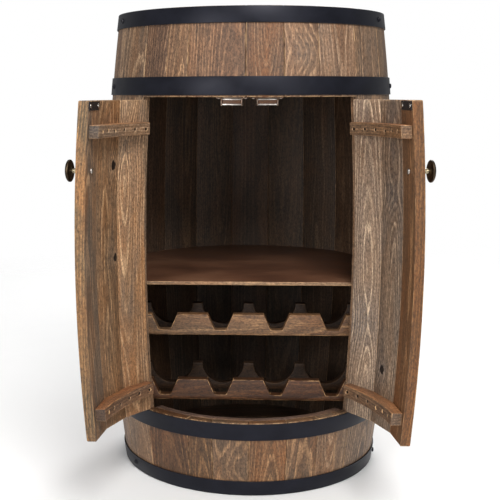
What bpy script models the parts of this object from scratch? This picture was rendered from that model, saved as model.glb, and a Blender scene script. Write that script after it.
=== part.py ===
"""Barrel-shaped bar cabinet with two open doors, a shelf and a two-tier bottle rack.

Metres, +Z up.  The origin is on the barrel's axis, on the floor.  The doors face -Y.
Angles around the barrel are measured from the front (-Y) and are positive towards +X.
Each door is built closed, around its hinge axis, and its parent empty swings it open.
"""
import math

import bmesh
import bpy
from mathutils import Matrix, Vector

# ---------------------------------------------------------------- driving dimensions
HEIGHT = 0.800
BILGE_RADIUS = 0.2575          # outside radius at mid height
HEAD_RADIUS = 0.2300           # outside radius at both ends
STAVE_THICKNESS = 0.015        # at a stave's edge; the flat inner face makes its middle thicker
BODY_STAVES = 15               # full-height staves around the back and sides
DOOR_STAVES = 3                # staves in each door
DOOR_ARC = math.radians(45.0)  # each door covers this much of the barrel
EDGE_CHAMFER = 0.0012          # chamfer along each stave's outer edges
LEVEL_STEP = 0.057             # height of one facet of the curved staves

GAP = 0.0003                   # between pieces that touch
HOOP_GAP = 0.0006              # the hoops are coarser polygons than the staves

SILL_Z = 0.131                 # top cut of the lower front staves
LINTEL_Z = 0.6605              # bottom cut of the upper front staves
DOOR_BOTTOM_Z = 0.1405
DOOR_TOP_Z = 0.6565
HINGE_EDGE_GAP = 0.0006        # door stave to the joint with the body
FREE_EDGE_GAP = 0.0010         # door stave to the plane where the doors meet
DOOR_OPEN_ANGLE = math.radians(90.0)

HOOP_THICKNESS = 0.0018
HOOP_SEGMENTS = 60
HOOPS = {"bottom": (0.0005, 0.0260), "lower": (0.1010, 0.1300),
         "upper": (0.6635, 0.6925), "top": (0.7740, 0.7995)}

BOARD_THICKNESS = 0.015
BOARD_GAP = 0.0004
TOP_BOARD_RECESS = 0.008       # below the stave ends
SHELF_TOP_Z = 0.3535
SHELF_THICKNESS = 0.006
SHELF_FRONT_Y = -0.165

BOTTLE_PITCH = 0.0965
BOTTLES_PER_TIER = 4
TIER_AXIS_Z = {"lower": 0.162, "upper": 0.278}   # height of a lying bottle's axis
SLAT_THICKNESS = 0.018
FRONT_SLAT_Y = -0.148          # front face
FRONT_SLAT_HEIGHT = 0.036
NECK_RADIUS = 0.0145
NECK_NOTCH_TOP = 0.022         # half widths and depth of a neck notch
NECK_NOTCH_BOTTOM = 0.010
NECK_NOTCH_DEPTH = 0.027
BACK_SLAT_Y = 0.011            # front face
BACK_SLAT_HEIGHT = 0.051
BODY_CUTOUT_RADIUS = 0.039     # a bottle's body, with 1 mm to spare
CUTOUT_SEGMENTS = 8

STRIP_DEPTH = 0.0150           # curved strips behind the upper and lower front staves
STRIP_HEIGHT = 0.019
STRIP_REACH = math.radians(44.3)
BATTEN_DEPTH = 0.0172          # curved battens that join each door's staves
BATTEN_BELLY = 0.0060          # how much deeper they are at the middle
BATTEN_HEIGHT = 0.0195
BATTEN_Z = {"bottom": 0.1715, "top": 0.6015}
BATTEN_FREE_END = math.radians(1.5)
BATTEN_HINGE_END = math.radians(43.4)
BAR_STEP = math.radians(5.0)

HINGE_AXIS_RADIUS = 0.2590     # just outside the bilge, so an opening door clears the body
HINGE_HEIGHT = 0.050
HINGE_MID_Z = {"lower": 0.245, "upper": 0.555}
LEAF_THICKNESS = 0.0016
LEAF_INNER = 0.0045            # from the hinge axis to the plate
LEAF_OUTER = 0.0240
KNUCKLE_RADIUS = 0.0034
KNUCKLE_BORE = 0.0018
KNUCKLE_END = 0.0123           # length of each of the body leaf's two knuckles
KNUCKLE_GAP = 0.0005
PIN_RADIUS = 0.0015
PIN_HEAD_RADIUS = 0.0029
ROUND_SEGMENTS = 16

KNOB_Z = 0.553
KNOB_ANGLE = math.radians(7.5)
KNOB_RADIUS = 0.0168
KNOB_RIM = 0.0160              # rim's distance from the door
KNOB_BACK_BULGE = 0.0042
KNOB_FRONT_BULGE = 0.0052
KNOB_SEGMENTS = 24
STEM_RADIUS = 0.0032
SCREW_HEAD_RADIUS = 0.0043
SCREW_HEAD_HEIGHT = 0.0024
SCREW_RADIUS = 0.0020
SCREW_REACH = 0.0130           # into the knob
SCREW_CLEARANCE = 0.0005       # around the screw, in the stave and in the knob

STRIKE_ANGLE = math.radians(7.2)
STRIKE_WIDTH = 0.050
STRIKE_THICKNESS = 0.0012
STRIKE_Z = (0.6420, 0.6550)
CATCH_WIDTH = 0.034
CATCH_EAR_WIDTH = 0.050
CATCH_EAR_THICKNESS = 0.0022
CATCH_DEPTH = 0.014
CATCH_Z = (0.6470, 0.6602)
CATCH_CLEARANCE = 0.0008       # from the strike plate of a closed door

WOOD = (0.23, 0.135, 0.075)
DARK_WOOD = (0.12, 0.055, 0.030)
PALE_WOOD = (0.31, 0.20, 0.12)
BLACK_STEEL = (0.020, 0.020, 0.024)
BRONZE = (0.045, 0.035, 0.026)
ZINC = (0.60, 0.59, 0.57)
BROWN_PLASTIC = (0.16, 0.085, 0.045)


# ---------------------------------------------------------------- barrel geometry
def outer_radius(z):
    """Outside radius of the barrel at height z, a parabola through bilge and heads."""
    half = HEIGHT / 2.0
    return BILGE_RADIUS - (BILGE_RADIUS - HEAD_RADIUS) * ((z - half) / half) ** 2


def radial(angle):
    return Vector((math.sin(angle), -math.cos(angle), 0.0))


def tangent(angle):
    """Horizontal direction in which the angle grows."""
    return Vector((math.cos(angle), math.sin(angle), 0.0))


def polar(angle, radius, z):
    return radial(angle) * radius + Vector((0.0, 0.0, z))


def seam_angles():
    """Every joint between staves, from the front's left end round the back to its right."""
    body_arc = (2.0 * math.pi - 2.0 * DOOR_ARC) / BODY_STAVES
    body = [DOOR_ARC + body_arc * k for k in range(BODY_STAVES + 1)]
    front = [DOOR_ARC * k / DOOR_STAVES for k in range(-DOOR_STAVES + 1, DOOR_STAVES)]
    return front + body


def facets():
    """Middle angle and half angle of each flat facet that the staves' inner faces make."""
    angles = seam_angles()
    ends = angles[1:] + [angles[0] + 2.0 * math.pi]
    return [((a + b) / 2.0, (b - a) / 2.0) for a, b in zip(angles, ends)]


def facet_radius(angle, z, inset):
    """Distance from the axis to the inner face at an angle, less an inset off the face."""
    for middle, half in facets():
        turn = (angle - middle + math.pi) % (2.0 * math.pi) - math.pi
        if abs(turn) <= half + 1e-9:
            return ((outer_radius(z) - STAVE_THICKNESS) * math.cos(half) - inset) / math.cos(turn)
    raise ValueError("angle is on no facet")


def inner_half_width(y, z, inset):
    """Half the clear width inside the barrel at depth y and height z."""
    widths = []
    for middle, half in facets():
        if math.sin(middle) > 0.05:
            reach = (outer_radius(z) - STAVE_THICKNESS) * math.cos(half) - inset
            widths.append((reach + y * math.cos(middle)) / math.sin(middle))
    return min(widths)


def spaced(start, end, count):
    """count + 1 evenly spaced values from start to end."""
    return [start + (end - start) * k / count for k in range(count + 1)]


def levels(bottom, top):
    return spaced(bottom, top, max(1, round((top - bottom) / LEVEL_STEP)))


# ---------------------------------------------------------------- materials and objects
def material(name, color, roughness, metallic=0.0):
    made = bpy.data.materials.new(name)
    made.use_nodes = True
    shader = made.node_tree.nodes["Principled BSDF"]
    shader.inputs["Base Color"].default_value = (*color, 1.0)
    shader.inputs["Roughness"].default_value = roughness
    shader.inputs["Metallic"].default_value = metallic
    return made


def add_object(name, bm, finish, parent=None, sharp_angle=25.0):
    """Turn a bmesh into an object with outward faces; a parent's place is its new origin."""
    bmesh.ops.recalc_face_normals(bm, faces=bm.faces)
    mesh = bpy.data.meshes.new(name)
    if parent is not None:
        bm.transform(Matrix.Translation(-parent.location))
    bm.to_mesh(mesh)
    bm.free()
    mesh.shade_smooth()
    mesh.set_sharp_from_angle(angle=math.radians(sharp_angle))
    mesh.materials.append(finish)
    made = bpy.data.objects.new(name, mesh)
    bpy.context.collection.objects.link(made)
    made.parent = parent
    return made


def loft(rings, closed=False):
    """Skin rings of equally many points; an open loft is capped at both ends."""
    bm = bmesh.new()
    rows = [[bm.verts.new(point) for point in ring] for ring in rings]
    pairs = list(zip(rows, rows[1:]))
    if closed:
        pairs.append((rows[-1], rows[0]))
    for low, high in pairs:
        for k in range(len(low)):
            after = (k + 1) % len(low)
            bm.faces.new((low[k], low[after], high[after], high[k]))
    if not closed:
        bm.faces.new(rows[0])
        bm.faces.new(rows[-1])
    return bm


def turned(profile, origin, axis, segments):
    """Solid of revolution from (distance, radius) points that start and end on the axis."""
    bm = bmesh.new()
    across = axis.orthogonal().normalized()
    verts = [bm.verts.new(origin + axis * d + across * r) for d, r in profile]
    edges = [bm.edges.new(pair) for pair in zip(verts, verts[1:])]
    bmesh.ops.spin(bm, geom=verts + edges, cent=origin, axis=axis,
                   angle=2.0 * math.pi, steps=segments)
    bmesh.ops.remove_doubles(bm, verts=bm.verts, dist=0.00001)
    return bm


def cylinder(radius, origin, axis, length, segments=ROUND_SEGMENTS):
    return turned([(0.0, 0.0), (0.0, radius), (length, radius), (length, 0.0)],
                  origin, axis, segments)


def combine(base, tool, operation):
    """Apply one Boolean of the base with a tool object, and remove the tool."""
    modifier = base.modifiers.new(operation, "BOOLEAN")
    modifier.operation = operation
    modifier.object = tool
    bpy.context.view_layer.update()
    evaluated = base.evaluated_get(bpy.context.evaluated_depsgraph_get())
    mesh = bpy.data.meshes.new_from_object(evaluated)
    base.modifiers.clear()
    base.data = mesh
    mesh.name = base.name
    bpy.data.objects.remove(tool)


# ---------------------------------------------------------------- staves
def stave_ring(seams, start_gap, end_gap, arc_steps, z):
    """Outline at height z of one stave, or of several glued at the inner seams."""
    outer = outer_radius(z)
    inner = outer - STAVE_THICKNESS
    chamfer = EDGE_CHAMFER / outer
    first, last = seams[0], seams[-1]
    start, end = tangent(first) * start_gap, tangent(last) * -end_gap
    ring = [polar(first, inner, z) + start]
    ring += [polar(seam, inner, z) for seam in seams[1:-1]]
    ring += [polar(last, inner, z) + end, polar(last, outer - EDGE_CHAMFER, z) + end]
    end_turn, start_turn = chamfer + end_gap / outer, chamfer + start_gap / outer
    for high, low in zip(reversed(seams), list(reversed(seams))[1:]):
        above = end_turn if high == last else chamfer
        below = start_turn if low == first else chamfer
        ring += [polar(a, outer, z) for a in spaced(high - above, low + below, arc_steps)]
        edge = polar(low, outer - EDGE_CHAMFER, z)
        ring.append(edge + start if low == first else edge)
    return ring


def add_stave(name, seams, bottom, top, finish, gaps=(GAP / 2, GAP / 2), arc_steps=3, parent=None):
    rings = [stave_ring(seams, gaps[0], gaps[1], arc_steps, z) for z in levels(bottom, top)]
    return add_object(name, loft(rings), finish, parent)


def add_body_staves(finish):
    body = seam_angles()[2 * DOOR_STAVES - 1:]
    for number, seams in enumerate(zip(body, body[1:]), start=1):
        add_stave(f"stave_{number:02d}", seams, 0.0, HEIGHT, finish, arc_steps=4)


def add_front_panels(finish):
    seams = [DOOR_ARC * k / DOOR_STAVES for k in range(-DOOR_STAVES, DOOR_STAVES + 1)]
    add_stave("bottom_front_panel", seams, 0.0, SILL_Z, finish)
    add_stave("top_front_panel", seams, LINTEL_Z, HEIGHT, finish)


def add_door_staves(side, name, hinge, finish):
    """Three staves from the free edge to the hinge edge; the first carries the knob."""
    for number in range(DOOR_STAVES):
        free = FREE_EDGE_GAP if number == 0 else GAP / 2
        hinged = HINGE_EDGE_GAP if number == DOOR_STAVES - 1 else GAP / 2
        near = DOOR_ARC * number / DOOR_STAVES
        far = DOOR_ARC * (number + 1) / DOOR_STAVES
        seams, gaps = (near, far), (free, hinged)
        if side < 0:
            seams, gaps = (-far, -near), (hinged, free)
        stave = add_stave(f"{name}_door_stave_{number + 1}", seams, DOOR_BOTTOM_Z, DOOR_TOP_Z,
                          finish, gaps, parent=hinge)
        if number == 0:
            drill_knob_hole(side, stave, hinge, finish)


def drill_knob_hole(side, stave, hinge, finish):
    axis = radial(side * KNOB_ANGLE)
    start = polar(0.0, 0.0, KNOB_Z) + axis * (BILGE_RADIUS - 0.050)
    bore = cylinder(SCREW_RADIUS + SCREW_CLEARANCE, start, axis, 0.080)
    combine(stave, add_object("knob_hole", bore, finish, hinge), "DIFFERENCE")


# ---------------------------------------------------------------- hoops and boards
def add_hoop(name, bottom, top, finish):
    rings = []
    for angle in spaced(0.0, 2.0 * math.pi, HOOP_SEGMENTS)[:-1]:
        low = outer_radius(bottom) + HOOP_GAP
        high = outer_radius(top) + HOOP_GAP
        rings.append([polar(angle, low, bottom), polar(angle, low + HOOP_THICKNESS, bottom),
                      polar(angle, high + HOOP_THICKNESS, top), polar(angle, high, top)])
    add_object(name, loft(rings, closed=True), finish)


def board_ring(z):
    return [polar(angle, outer_radius(z) - STAVE_THICKNESS - BOARD_GAP, z)
            for angle in seam_angles()]


def add_boards(finish):
    top = HEIGHT - TOP_BOARD_RECESS
    for name, low, high in (("bottom_board", 0.0, BOARD_THICKNESS),
                            ("top_board", top - BOARD_THICKNESS, top)):
        add_object(name, loft([board_ring(low), board_ring(high)]), finish)


def shelf_ring(z):
    """Straight front edge, then the inside of the body staves all round the back."""
    half = inner_half_width(SHELF_FRONT_Y, z, BOARD_GAP)
    radius = outer_radius(z) - STAVE_THICKNESS - BOARD_GAP
    body = seam_angles()[2 * DOOR_STAVES - 1:][1:-1]
    ring = [Vector((-half, SHELF_FRONT_Y, z)), Vector((half, SHELF_FRONT_Y, z))]
    return ring + [polar(angle, radius, z) for angle in body]


def add_shelf(finish):
    rings = [shelf_ring(SHELF_TOP_Z - SHELF_THICKNESS), shelf_ring(SHELF_TOP_Z)]
    add_object("shelf", loft(rings), finish)


# ---------------------------------------------------------------- bottle rack
def bottle_centres():
    first = -BOTTLE_PITCH * (BOTTLES_PER_TIER - 1) / 2.0
    return [first + BOTTLE_PITCH * k for k in range(BOTTLES_PER_TIER)]


def neck_notch(x, top):
    """The four corners of a tapered notch for a bottle's neck, from left to right."""
    floor = top - NECK_NOTCH_DEPTH
    return [(x - NECK_NOTCH_TOP, top), (x - NECK_NOTCH_BOTTOM, floor),
            (x + NECK_NOTCH_BOTTOM, floor), (x + NECK_NOTCH_TOP, top)]


def body_cutout(x, top):
    """A half circle for a bottle's body, from left to right."""
    turns = spaced(math.pi, 2.0 * math.pi, CUTOUT_SEGMENTS)
    return [(x + BODY_CUTOUT_RADIUS * math.cos(a), top + BODY_CUTOUT_RADIUS * math.sin(a))
            for a in turns]


def add_slat(name, front_y, bottom, top, cutout, finish):
    """A rail across the barrel with one cut-out for each bottle along its top edge."""
    rings = []
    for y in (front_y, front_y + SLAT_THICKNESS):
        high = inner_half_width(y, top, BOARD_GAP)
        low = inner_half_width(y, bottom, BOARD_GAP)
        outline = [(-high, top)]
        for x in bottle_centres():
            outline += cutout(x, top)
        outline += [(high, top), (low, bottom), (-low, bottom)]
        rings.append([Vector((x, y, z)) for x, z in outline])
    add_object(name, loft(rings), finish, sharp_angle=35.0)


def add_rack(front_finish, back_finish):
    for tier, axis_z in TIER_AXIS_Z.items():
        front_top = axis_z + NECK_RADIUS
        add_slat(f"{tier}_front_slat", FRONT_SLAT_Y, front_top - FRONT_SLAT_HEIGHT, front_top,
                 neck_notch, front_finish[tier])
        add_slat(f"{tier}_back_slat", BACK_SLAT_Y, axis_z - BACK_SLAT_HEIGHT, axis_z,
                 body_cutout, back_finish)


# ---------------------------------------------------------------- curved strips and battens
def bar_ring(start, end, depth, belly, z):
    """Outline of a bar whose back fits the flat facets and whose front is a curve."""
    corners = [a for a in seam_angles() if start < a < end]
    back = [polar(a, facet_radius(a, z, GAP), z) for a in [start] + corners + [end]]
    inner = outer_radius(z) - STAVE_THICKNESS - GAP - depth
    steps = max(2, round((end - start) / BAR_STEP))
    front = [polar(end + (start - end) * t, inner - belly * math.sin(math.pi * t), z)
             for t in spaced(0.0, 1.0, steps)]
    return back + front


def add_bar(name, start, end, depth, belly, bottom, top, finish, parent=None):
    rings = [bar_ring(start, end, depth, belly, z) for z in (bottom, top)]
    add_object(name, loft(rings), finish, parent)


def add_front_strips(finish):
    for name, bottom in (("bottom_front_strip", SILL_Z - STRIP_HEIGHT), ("top_front_strip", LINTEL_Z)):
        add_bar(name, -STRIP_REACH, STRIP_REACH, STRIP_DEPTH, 0.0, bottom, bottom + STRIP_HEIGHT, finish)


def add_battens(side, name, hinge, finish):
    ends = sorted((side * BATTEN_FREE_END, side * BATTEN_HINGE_END))
    for place, bottom in BATTEN_Z.items():
        add_bar(f"{name}_door_{place}_batten", *ends, BATTEN_DEPTH, BATTEN_BELLY, bottom,
                bottom + BATTEN_HEIGHT, finish, hinge)


# ---------------------------------------------------------------- hinges
def hinge_axis(side):
    return polar(side * DOOR_ARC, HINGE_AXIS_RADIUS, 0.0)


def hinge_point(side, leaf, v, u, z):
    """A point at v along the leaf from the hinge axis and u outwards from it."""
    angle = side * DOOR_ARC
    along = tangent(angle) * (-side * leaf)
    return hinge_axis(side) + along * v + radial(angle) * u + Vector((0.0, 0.0, z))


def leaf_back(v, z):
    """Height of a leaf's wood side, measured outwards from the hinge axis."""
    return math.sqrt(outer_radius(z) ** 2 - v ** 2) - HINGE_AXIS_RADIUS + BOARD_GAP


def plate_ring(side, leaf, z):
    stations = spaced(LEAF_INNER, LEAF_OUTER, 2)
    back = [(v, leaf_back(v, z)) for v in stations]
    front = [(v, leaf_back(v, z) + LEAF_THICKNESS) for v in reversed(stations)]
    return [hinge_point(side, leaf, v, u, z) for v, u in back + front]


def web_ring(side, leaf, z):
    """The bent stretch that joins the plate to a knuckle."""
    root = LEAF_INNER + 0.001
    back = leaf_back(root, z)
    corners = [(root, back), (root, back + LEAF_THICKNESS), (0.0024, -0.0004), (0.0002, -0.0024)]
    return [hinge_point(side, leaf, v, u, z) for v, u in corners]


def add_leaf(name, side, leaf, middle, knuckles, finish, parent=None):
    """A plate bent to the barrel, with a web and a bored knuckle for each height range."""
    bottom, top = middle - HINGE_HEIGHT / 2, middle + HINGE_HEIGHT / 2
    plate = [plate_ring(side, leaf, z) for z in spaced(bottom, top, 2)]
    made = add_object(name, loft(plate), finish, parent)
    up = Vector((0.0, 0.0, 1.0))
    for low, high in knuckles:
        web = loft([web_ring(side, leaf, z) for z in (low + 0.0002, high - 0.0002)])
        combine(made, add_object("web", web, finish, parent), "UNION")
        start = hinge_axis(side) + up * low
        tube = cylinder(KNUCKLE_RADIUS, start, up, high - low)
        combine(made, add_object("knuckle", tube, finish, parent), "UNION")
    start = hinge_axis(side) + up * (bottom - 0.005)
    bore = cylinder(KNUCKLE_BORE, start, up, HINGE_HEIGHT + 0.010)
    combine(made, add_object("bore", bore, finish, parent), "DIFFERENCE")
    made.data.shade_smooth()
    made.data.set_sharp_from_angle(angle=math.radians(35.0))


def add_pin(name, side, middle, finish):
    """A shaft with a domed head beyond each end of the knuckles."""
    half = HINGE_HEIGHT / 2 + KNUCKLE_GAP
    head = [(half, PIN_RADIUS), (half, PIN_HEAD_RADIUS), (half + 0.0016, PIN_HEAD_RADIUS),
            (half + 0.0030, PIN_HEAD_RADIUS * 0.6), (half + 0.0034, 0.0)]
    profile = [(-d, r) for d, r in reversed(head)] + head
    origin = hinge_axis(side) + Vector((0.0, 0.0, middle))
    add_object(name, turned(profile, origin, Vector((0.0, 0.0, 1.0)), ROUND_SEGMENTS), finish,
               sharp_angle=40.0)


def add_hinges(side, name, hinge, finish):
    for place, middle in HINGE_MID_Z.items():
        bottom, top = middle - HINGE_HEIGHT / 2, middle + HINGE_HEIGHT / 2
        ends = [(bottom, bottom + KNUCKLE_END), (top - KNUCKLE_END, top)]
        centre = [(bottom + KNUCKLE_END + KNUCKLE_GAP, top - KNUCKLE_END - KNUCKLE_GAP)]
        label = f"{name}_{place}_hinge"
        add_leaf(f"{label}_body_leaf", side, -1, middle, ends, finish)
        add_leaf(f"{label}_door_leaf", side, 1, middle, centre, finish, hinge)
        add_pin(f"{label}_pin", side, middle, finish)


# ---------------------------------------------------------------- knobs, strikes and catches
def add_knob(side, name, hinge, bronze, zinc):
    """A lens-shaped knob on a stem, held by a screw through the door from inside."""
    axis = radial(side * KNOB_ANGLE)
    face = polar(side * KNOB_ANGLE, outer_radius(KNOB_Z), KNOB_Z)
    bore = SCREW_RADIUS + SCREW_CLEARANCE
    base = BOARD_GAP
    profile = [(KNOB_RIM, 0.0), (KNOB_RIM, bore), (base, bore), (base, STEM_RADIUS)]
    edge = math.asin(STEM_RADIUS / KNOB_RADIUS)
    for turn in spaced(edge, math.pi / 2, 5):
        profile.append((KNOB_RIM - KNOB_BACK_BULGE * math.cos(turn), KNOB_RADIUS * math.sin(turn)))
    for turn in spaced(math.pi / 2, 0.0, 5)[1:]:
        profile.append((KNOB_RIM + KNOB_FRONT_BULGE * math.cos(turn), KNOB_RADIUS * math.sin(turn)))
    add_object(f"{name}_knob", turned(profile, face, axis, KNOB_SEGMENTS), bronze, hinge, 50.0)
    add_knob_screw(side, name, hinge, zinc, face, axis)


def add_knob_screw(side, name, hinge, finish, face, axis):
    seat = facet_radius(side * KNOB_ANGLE, KNOB_Z, SCREW_CLEARANCE) - face.xy.length
    head = [(seat - SCREW_HEAD_HEIGHT, 0.0), (seat - SCREW_HEAD_HEIGHT, SCREW_HEAD_RADIUS * 0.6),
            (seat - SCREW_HEAD_HEIGHT * 0.5, SCREW_HEAD_RADIUS * 0.93), (seat, SCREW_HEAD_RADIUS)]
    shank = [(seat, SCREW_RADIUS), (SCREW_REACH, SCREW_RADIUS), (SCREW_REACH, 0.0)]
    bm = turned(head + shank, face, axis, ROUND_SEGMENTS)
    add_object(f"{name}_knob_screw", bm, finish, hinge, 40.0)


def add_strike_plate(side, name, hinge, finish):
    """A steel plate on the inner face of the free stave, near the door's top."""
    angle = side * STRIKE_ANGLE
    middle = side * DOOR_ARC / DOOR_STAVES / 2.0
    rings = []
    for z in STRIKE_Z:
        reach = facet_radius(middle, z, GAP)
        shift = math.tan(angle - middle) * reach
        ring = []
        for v, depth in ((-1, 0), (1, 0), (1, 1), (-1, 1)):
            along = tangent(middle) * (shift + v * STRIKE_WIDTH / 2.0)
            ring.append(polar(middle, reach - depth * STRIKE_THICKNESS, z) + along)
        rings.append(ring)
    add_object(f"{name}_strike_plate", loft(rings), finish, hinge)


def add_catch(side, name, finish):
    """Magnetic catch: a housing with two ears along its top, under the upper strip."""
    middle = side * DOOR_ARC / DOOR_STAVES / 2.0
    front = facet_radius(middle, CATCH_Z[1], GAP) - STRIKE_THICKNESS - CATCH_CLEARANCE
    shift = math.tan(side * STRIKE_ANGLE - middle) * front
    low, high = CATCH_Z
    ear = high - CATCH_EAR_THICKNESS
    half, wide = CATCH_WIDTH / 2.0, CATCH_EAR_WIDTH / 2.0
    outline = [(-half, low), (half, low), (half, ear), (wide, ear), (wide, high),
               (-wide, high), (-wide, ear), (-half, ear)]
    rings = []
    for reach in (front, front - CATCH_DEPTH):
        rings.append([polar(middle, reach, z) + tangent(middle) * (shift + v) for v, z in outline])
    add_object(f"{name}_catch", loft(rings), finish)


# ---------------------------------------------------------------- assembly
def add_hinge_empty(side, name):
    """The door's joint axis; turning it by the open angle swings the door outwards."""
    empty = bpy.data.objects.new(f"{name}_door_axis", None)
    empty.location = hinge_axis(side)
    empty.rotation_euler.z = side * DOOR_OPEN_ANGLE
    bpy.context.collection.objects.link(empty)
    return empty


def build():
    for old in list(bpy.data.objects):
        bpy.data.objects.remove(old)
    wood = material("stave_wood", WOOD, 0.6)
    dark = material("dark_wood", DARK_WOOD, 0.45)
    pale = material("pale_wood", PALE_WOOD, 0.6)
    steel = material("black_steel", BLACK_STEEL, 0.4, 0.8)
    bronze = material("aged_bronze", BRONZE, 0.3, 1.0)
    zinc = material("zinc_steel", ZINC, 0.3, 1.0)
    plastic = material("catch_plastic", BROWN_PLASTIC, 0.4)

    add_body_staves(wood)
    add_front_panels(wood)
    add_front_strips(wood)
    for place, (bottom, top) in HOOPS.items():
        add_hoop(f"hoop_{place}", bottom, top, steel)
    add_boards(wood)
    add_shelf(dark)
    add_rack({"upper": pale, "lower": dark}, dark)
    for side, name in ((-1, "left"), (1, "right")):
        hinge = add_hinge_empty(side, name)
        add_door_staves(side, name, hinge, wood)
        add_battens(side, name, hinge, pale)
        add_hinges(side, name, hinge, steel)
        add_knob(side, name, hinge, bronze, zinc)
        add_strike_plate(side, name, hinge, steel)
        add_catch(side, name, plastic)


build()
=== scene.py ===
"""Looks of the barrel bar cabinet: weathered staves, painted hoops, rack, shelf and fittings.

Metres, +Z up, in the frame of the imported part.  Angles around the barrel are measured from
the front (-Y) and are positive towards +X.  Door pieces are made in the closed door's place
and turned about the hinge axis to the open place that the part rests in.
"""
import math

import bmesh
import bpy
from mathutils import Matrix, Vector, noise


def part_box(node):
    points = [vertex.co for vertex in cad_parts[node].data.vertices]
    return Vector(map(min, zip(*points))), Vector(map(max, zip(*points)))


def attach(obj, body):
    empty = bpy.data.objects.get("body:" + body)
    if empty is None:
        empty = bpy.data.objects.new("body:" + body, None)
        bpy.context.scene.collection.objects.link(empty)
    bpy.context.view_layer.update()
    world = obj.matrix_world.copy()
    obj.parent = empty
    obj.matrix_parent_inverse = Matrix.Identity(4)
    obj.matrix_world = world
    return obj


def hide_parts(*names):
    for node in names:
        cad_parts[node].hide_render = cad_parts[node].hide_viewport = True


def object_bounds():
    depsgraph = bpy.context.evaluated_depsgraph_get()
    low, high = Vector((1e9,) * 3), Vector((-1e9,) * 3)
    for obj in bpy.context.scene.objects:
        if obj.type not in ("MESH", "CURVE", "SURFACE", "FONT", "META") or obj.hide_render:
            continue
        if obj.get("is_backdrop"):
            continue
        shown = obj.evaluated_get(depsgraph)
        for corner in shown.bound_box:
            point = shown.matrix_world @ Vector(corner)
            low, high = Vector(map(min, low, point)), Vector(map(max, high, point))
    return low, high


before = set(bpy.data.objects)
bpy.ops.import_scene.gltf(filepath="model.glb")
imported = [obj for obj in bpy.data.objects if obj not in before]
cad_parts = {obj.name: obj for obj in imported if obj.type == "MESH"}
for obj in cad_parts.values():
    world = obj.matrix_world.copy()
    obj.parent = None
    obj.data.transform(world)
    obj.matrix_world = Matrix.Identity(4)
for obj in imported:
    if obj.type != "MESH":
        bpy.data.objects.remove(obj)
cad_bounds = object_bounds()


# ---- sizes
def levels_of(node):
    """Lowest and highest point of a CAD node."""
    low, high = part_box(node)
    return low.z, high.z


HEIGHT = levels_of("stave_01")[1]
BILGE_RADIUS = 0.2575
HEAD_RADIUS = 0.2300
STAVE_THICKNESS = 0.015
BODY_STAVES = 15
DOOR_STAVES = 3
DOOR_ARC = math.radians(45.0)
GAP = 0.0003
HOOP_GAP = 0.0006
HOOP_THICKNESS = 0.0018
BOARD_GAP = 0.0004
DOOR_BOTTOM_Z, DOOR_TOP_Z = levels_of("left_door_stave_1")
SILL_Z = levels_of("bottom_front_panel")[1]
LINTEL_Z = levels_of("top_front_panel")[0]
HOOPS = {place: levels_of(f"hoop_{place}") for place in ("bottom", "lower", "upper", "top")}
HINGE_AXIS_RADIUS = 0.2590
DOOR_OPEN_ANGLE = math.radians(90.0)

TOP_SEAMS = (-45.0, -33.5, -24.0, -1.5, 13.0, 27.0, 45.0)           # short staves, degrees
BOTTOM_SEAMS = (-45.0, -24.6, -14.3, 0.4, 15.7, 28.9, 38.4, 45.0)
BOTTLE_PITCH = 0.0965
BOTTLE_CENTRES = [BOTTLE_PITCH * (k - 1.5) for k in range(4)]
KNOB_ANGLE = math.radians(7.5)
KNOB_Z = 0.553
STRIKE_ANGLE = math.radians(7.2)


def outer_radius(z):
    half = HEIGHT / 2.0
    return BILGE_RADIUS - (BILGE_RADIUS - HEAD_RADIUS) * ((z - half) / half) ** 2


def inner_radius(z):
    return outer_radius(z) - STAVE_THICKNESS


def radial(angle):
    return Vector((math.sin(angle), -math.cos(angle), 0.0))


def tangent(angle):
    return Vector((math.cos(angle), math.sin(angle), 0.0))


def polar(angle, radius, z):
    return radial(angle) * radius + Vector((0.0, 0.0, z))


def spaced(start, end, count):
    return [start + (end - start) * k / count for k in range(count + 1)]


def seam_angles():
    body_arc = (2.0 * math.pi - 2.0 * DOOR_ARC) / BODY_STAVES
    body = [DOOR_ARC + body_arc * k for k in range(BODY_STAVES + 1)]
    front = [DOOR_ARC * k / DOOR_STAVES for k in range(-DOOR_STAVES + 1, DOOR_STAVES)]
    return front + body


def facets():
    angles = seam_angles()
    ends = angles[1:] + [angles[0] + 2.0 * math.pi]
    return [((a + b) / 2.0, (b - a) / 2.0) for a, b in zip(angles, ends)]


def facet_radius(angle, z, inset):
    """Distance from the axis to the staves' flat inner faces, less an inset."""
    for middle, half in facets():
        turn = (angle - middle + math.pi) % (2.0 * math.pi) - math.pi
        if abs(turn) <= half + 1e-9:
            return (inner_radius(z) * math.cos(half) - inset) / math.cos(turn)
    raise ValueError("angle is on no facet")


def inner_half_width(y, z, inset):
    """Half the clear width inside the barrel at depth y and height z."""
    widths = []
    for middle, half in facets():
        if math.sin(middle) > 0.05:
            reach = inner_radius(z) * math.cos(half) - inset
            widths.append((reach + y * math.cos(middle)) / math.sin(middle))
    return min(widths)


def door_swing(side):
    """Takes a point of the closed door to its open place."""
    axis = polar(side * DOOR_ARC, HINGE_AXIS_RADIUS, 0.0)
    turn = Matrix.Rotation(side * DOOR_OPEN_ANGLE, 4, "Z")
    return Matrix.Translation(axis) @ turn @ Matrix.Translation(-axis)


SWINGS = {"cabinet": Matrix.Identity(4), "left_door": door_swing(-1), "right_door": door_swing(1)}


def body_stave_seams():
    """Angles of the joints round the staves outside the opening, both door posts included."""
    return seam_angles()[2 * DOOR_STAVES - 1:]


def free_stave_middle(side):
    """Angle of the middle of a door's free stave."""
    return side * DOOR_ARC / DOOR_STAVES / 2.0


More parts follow.
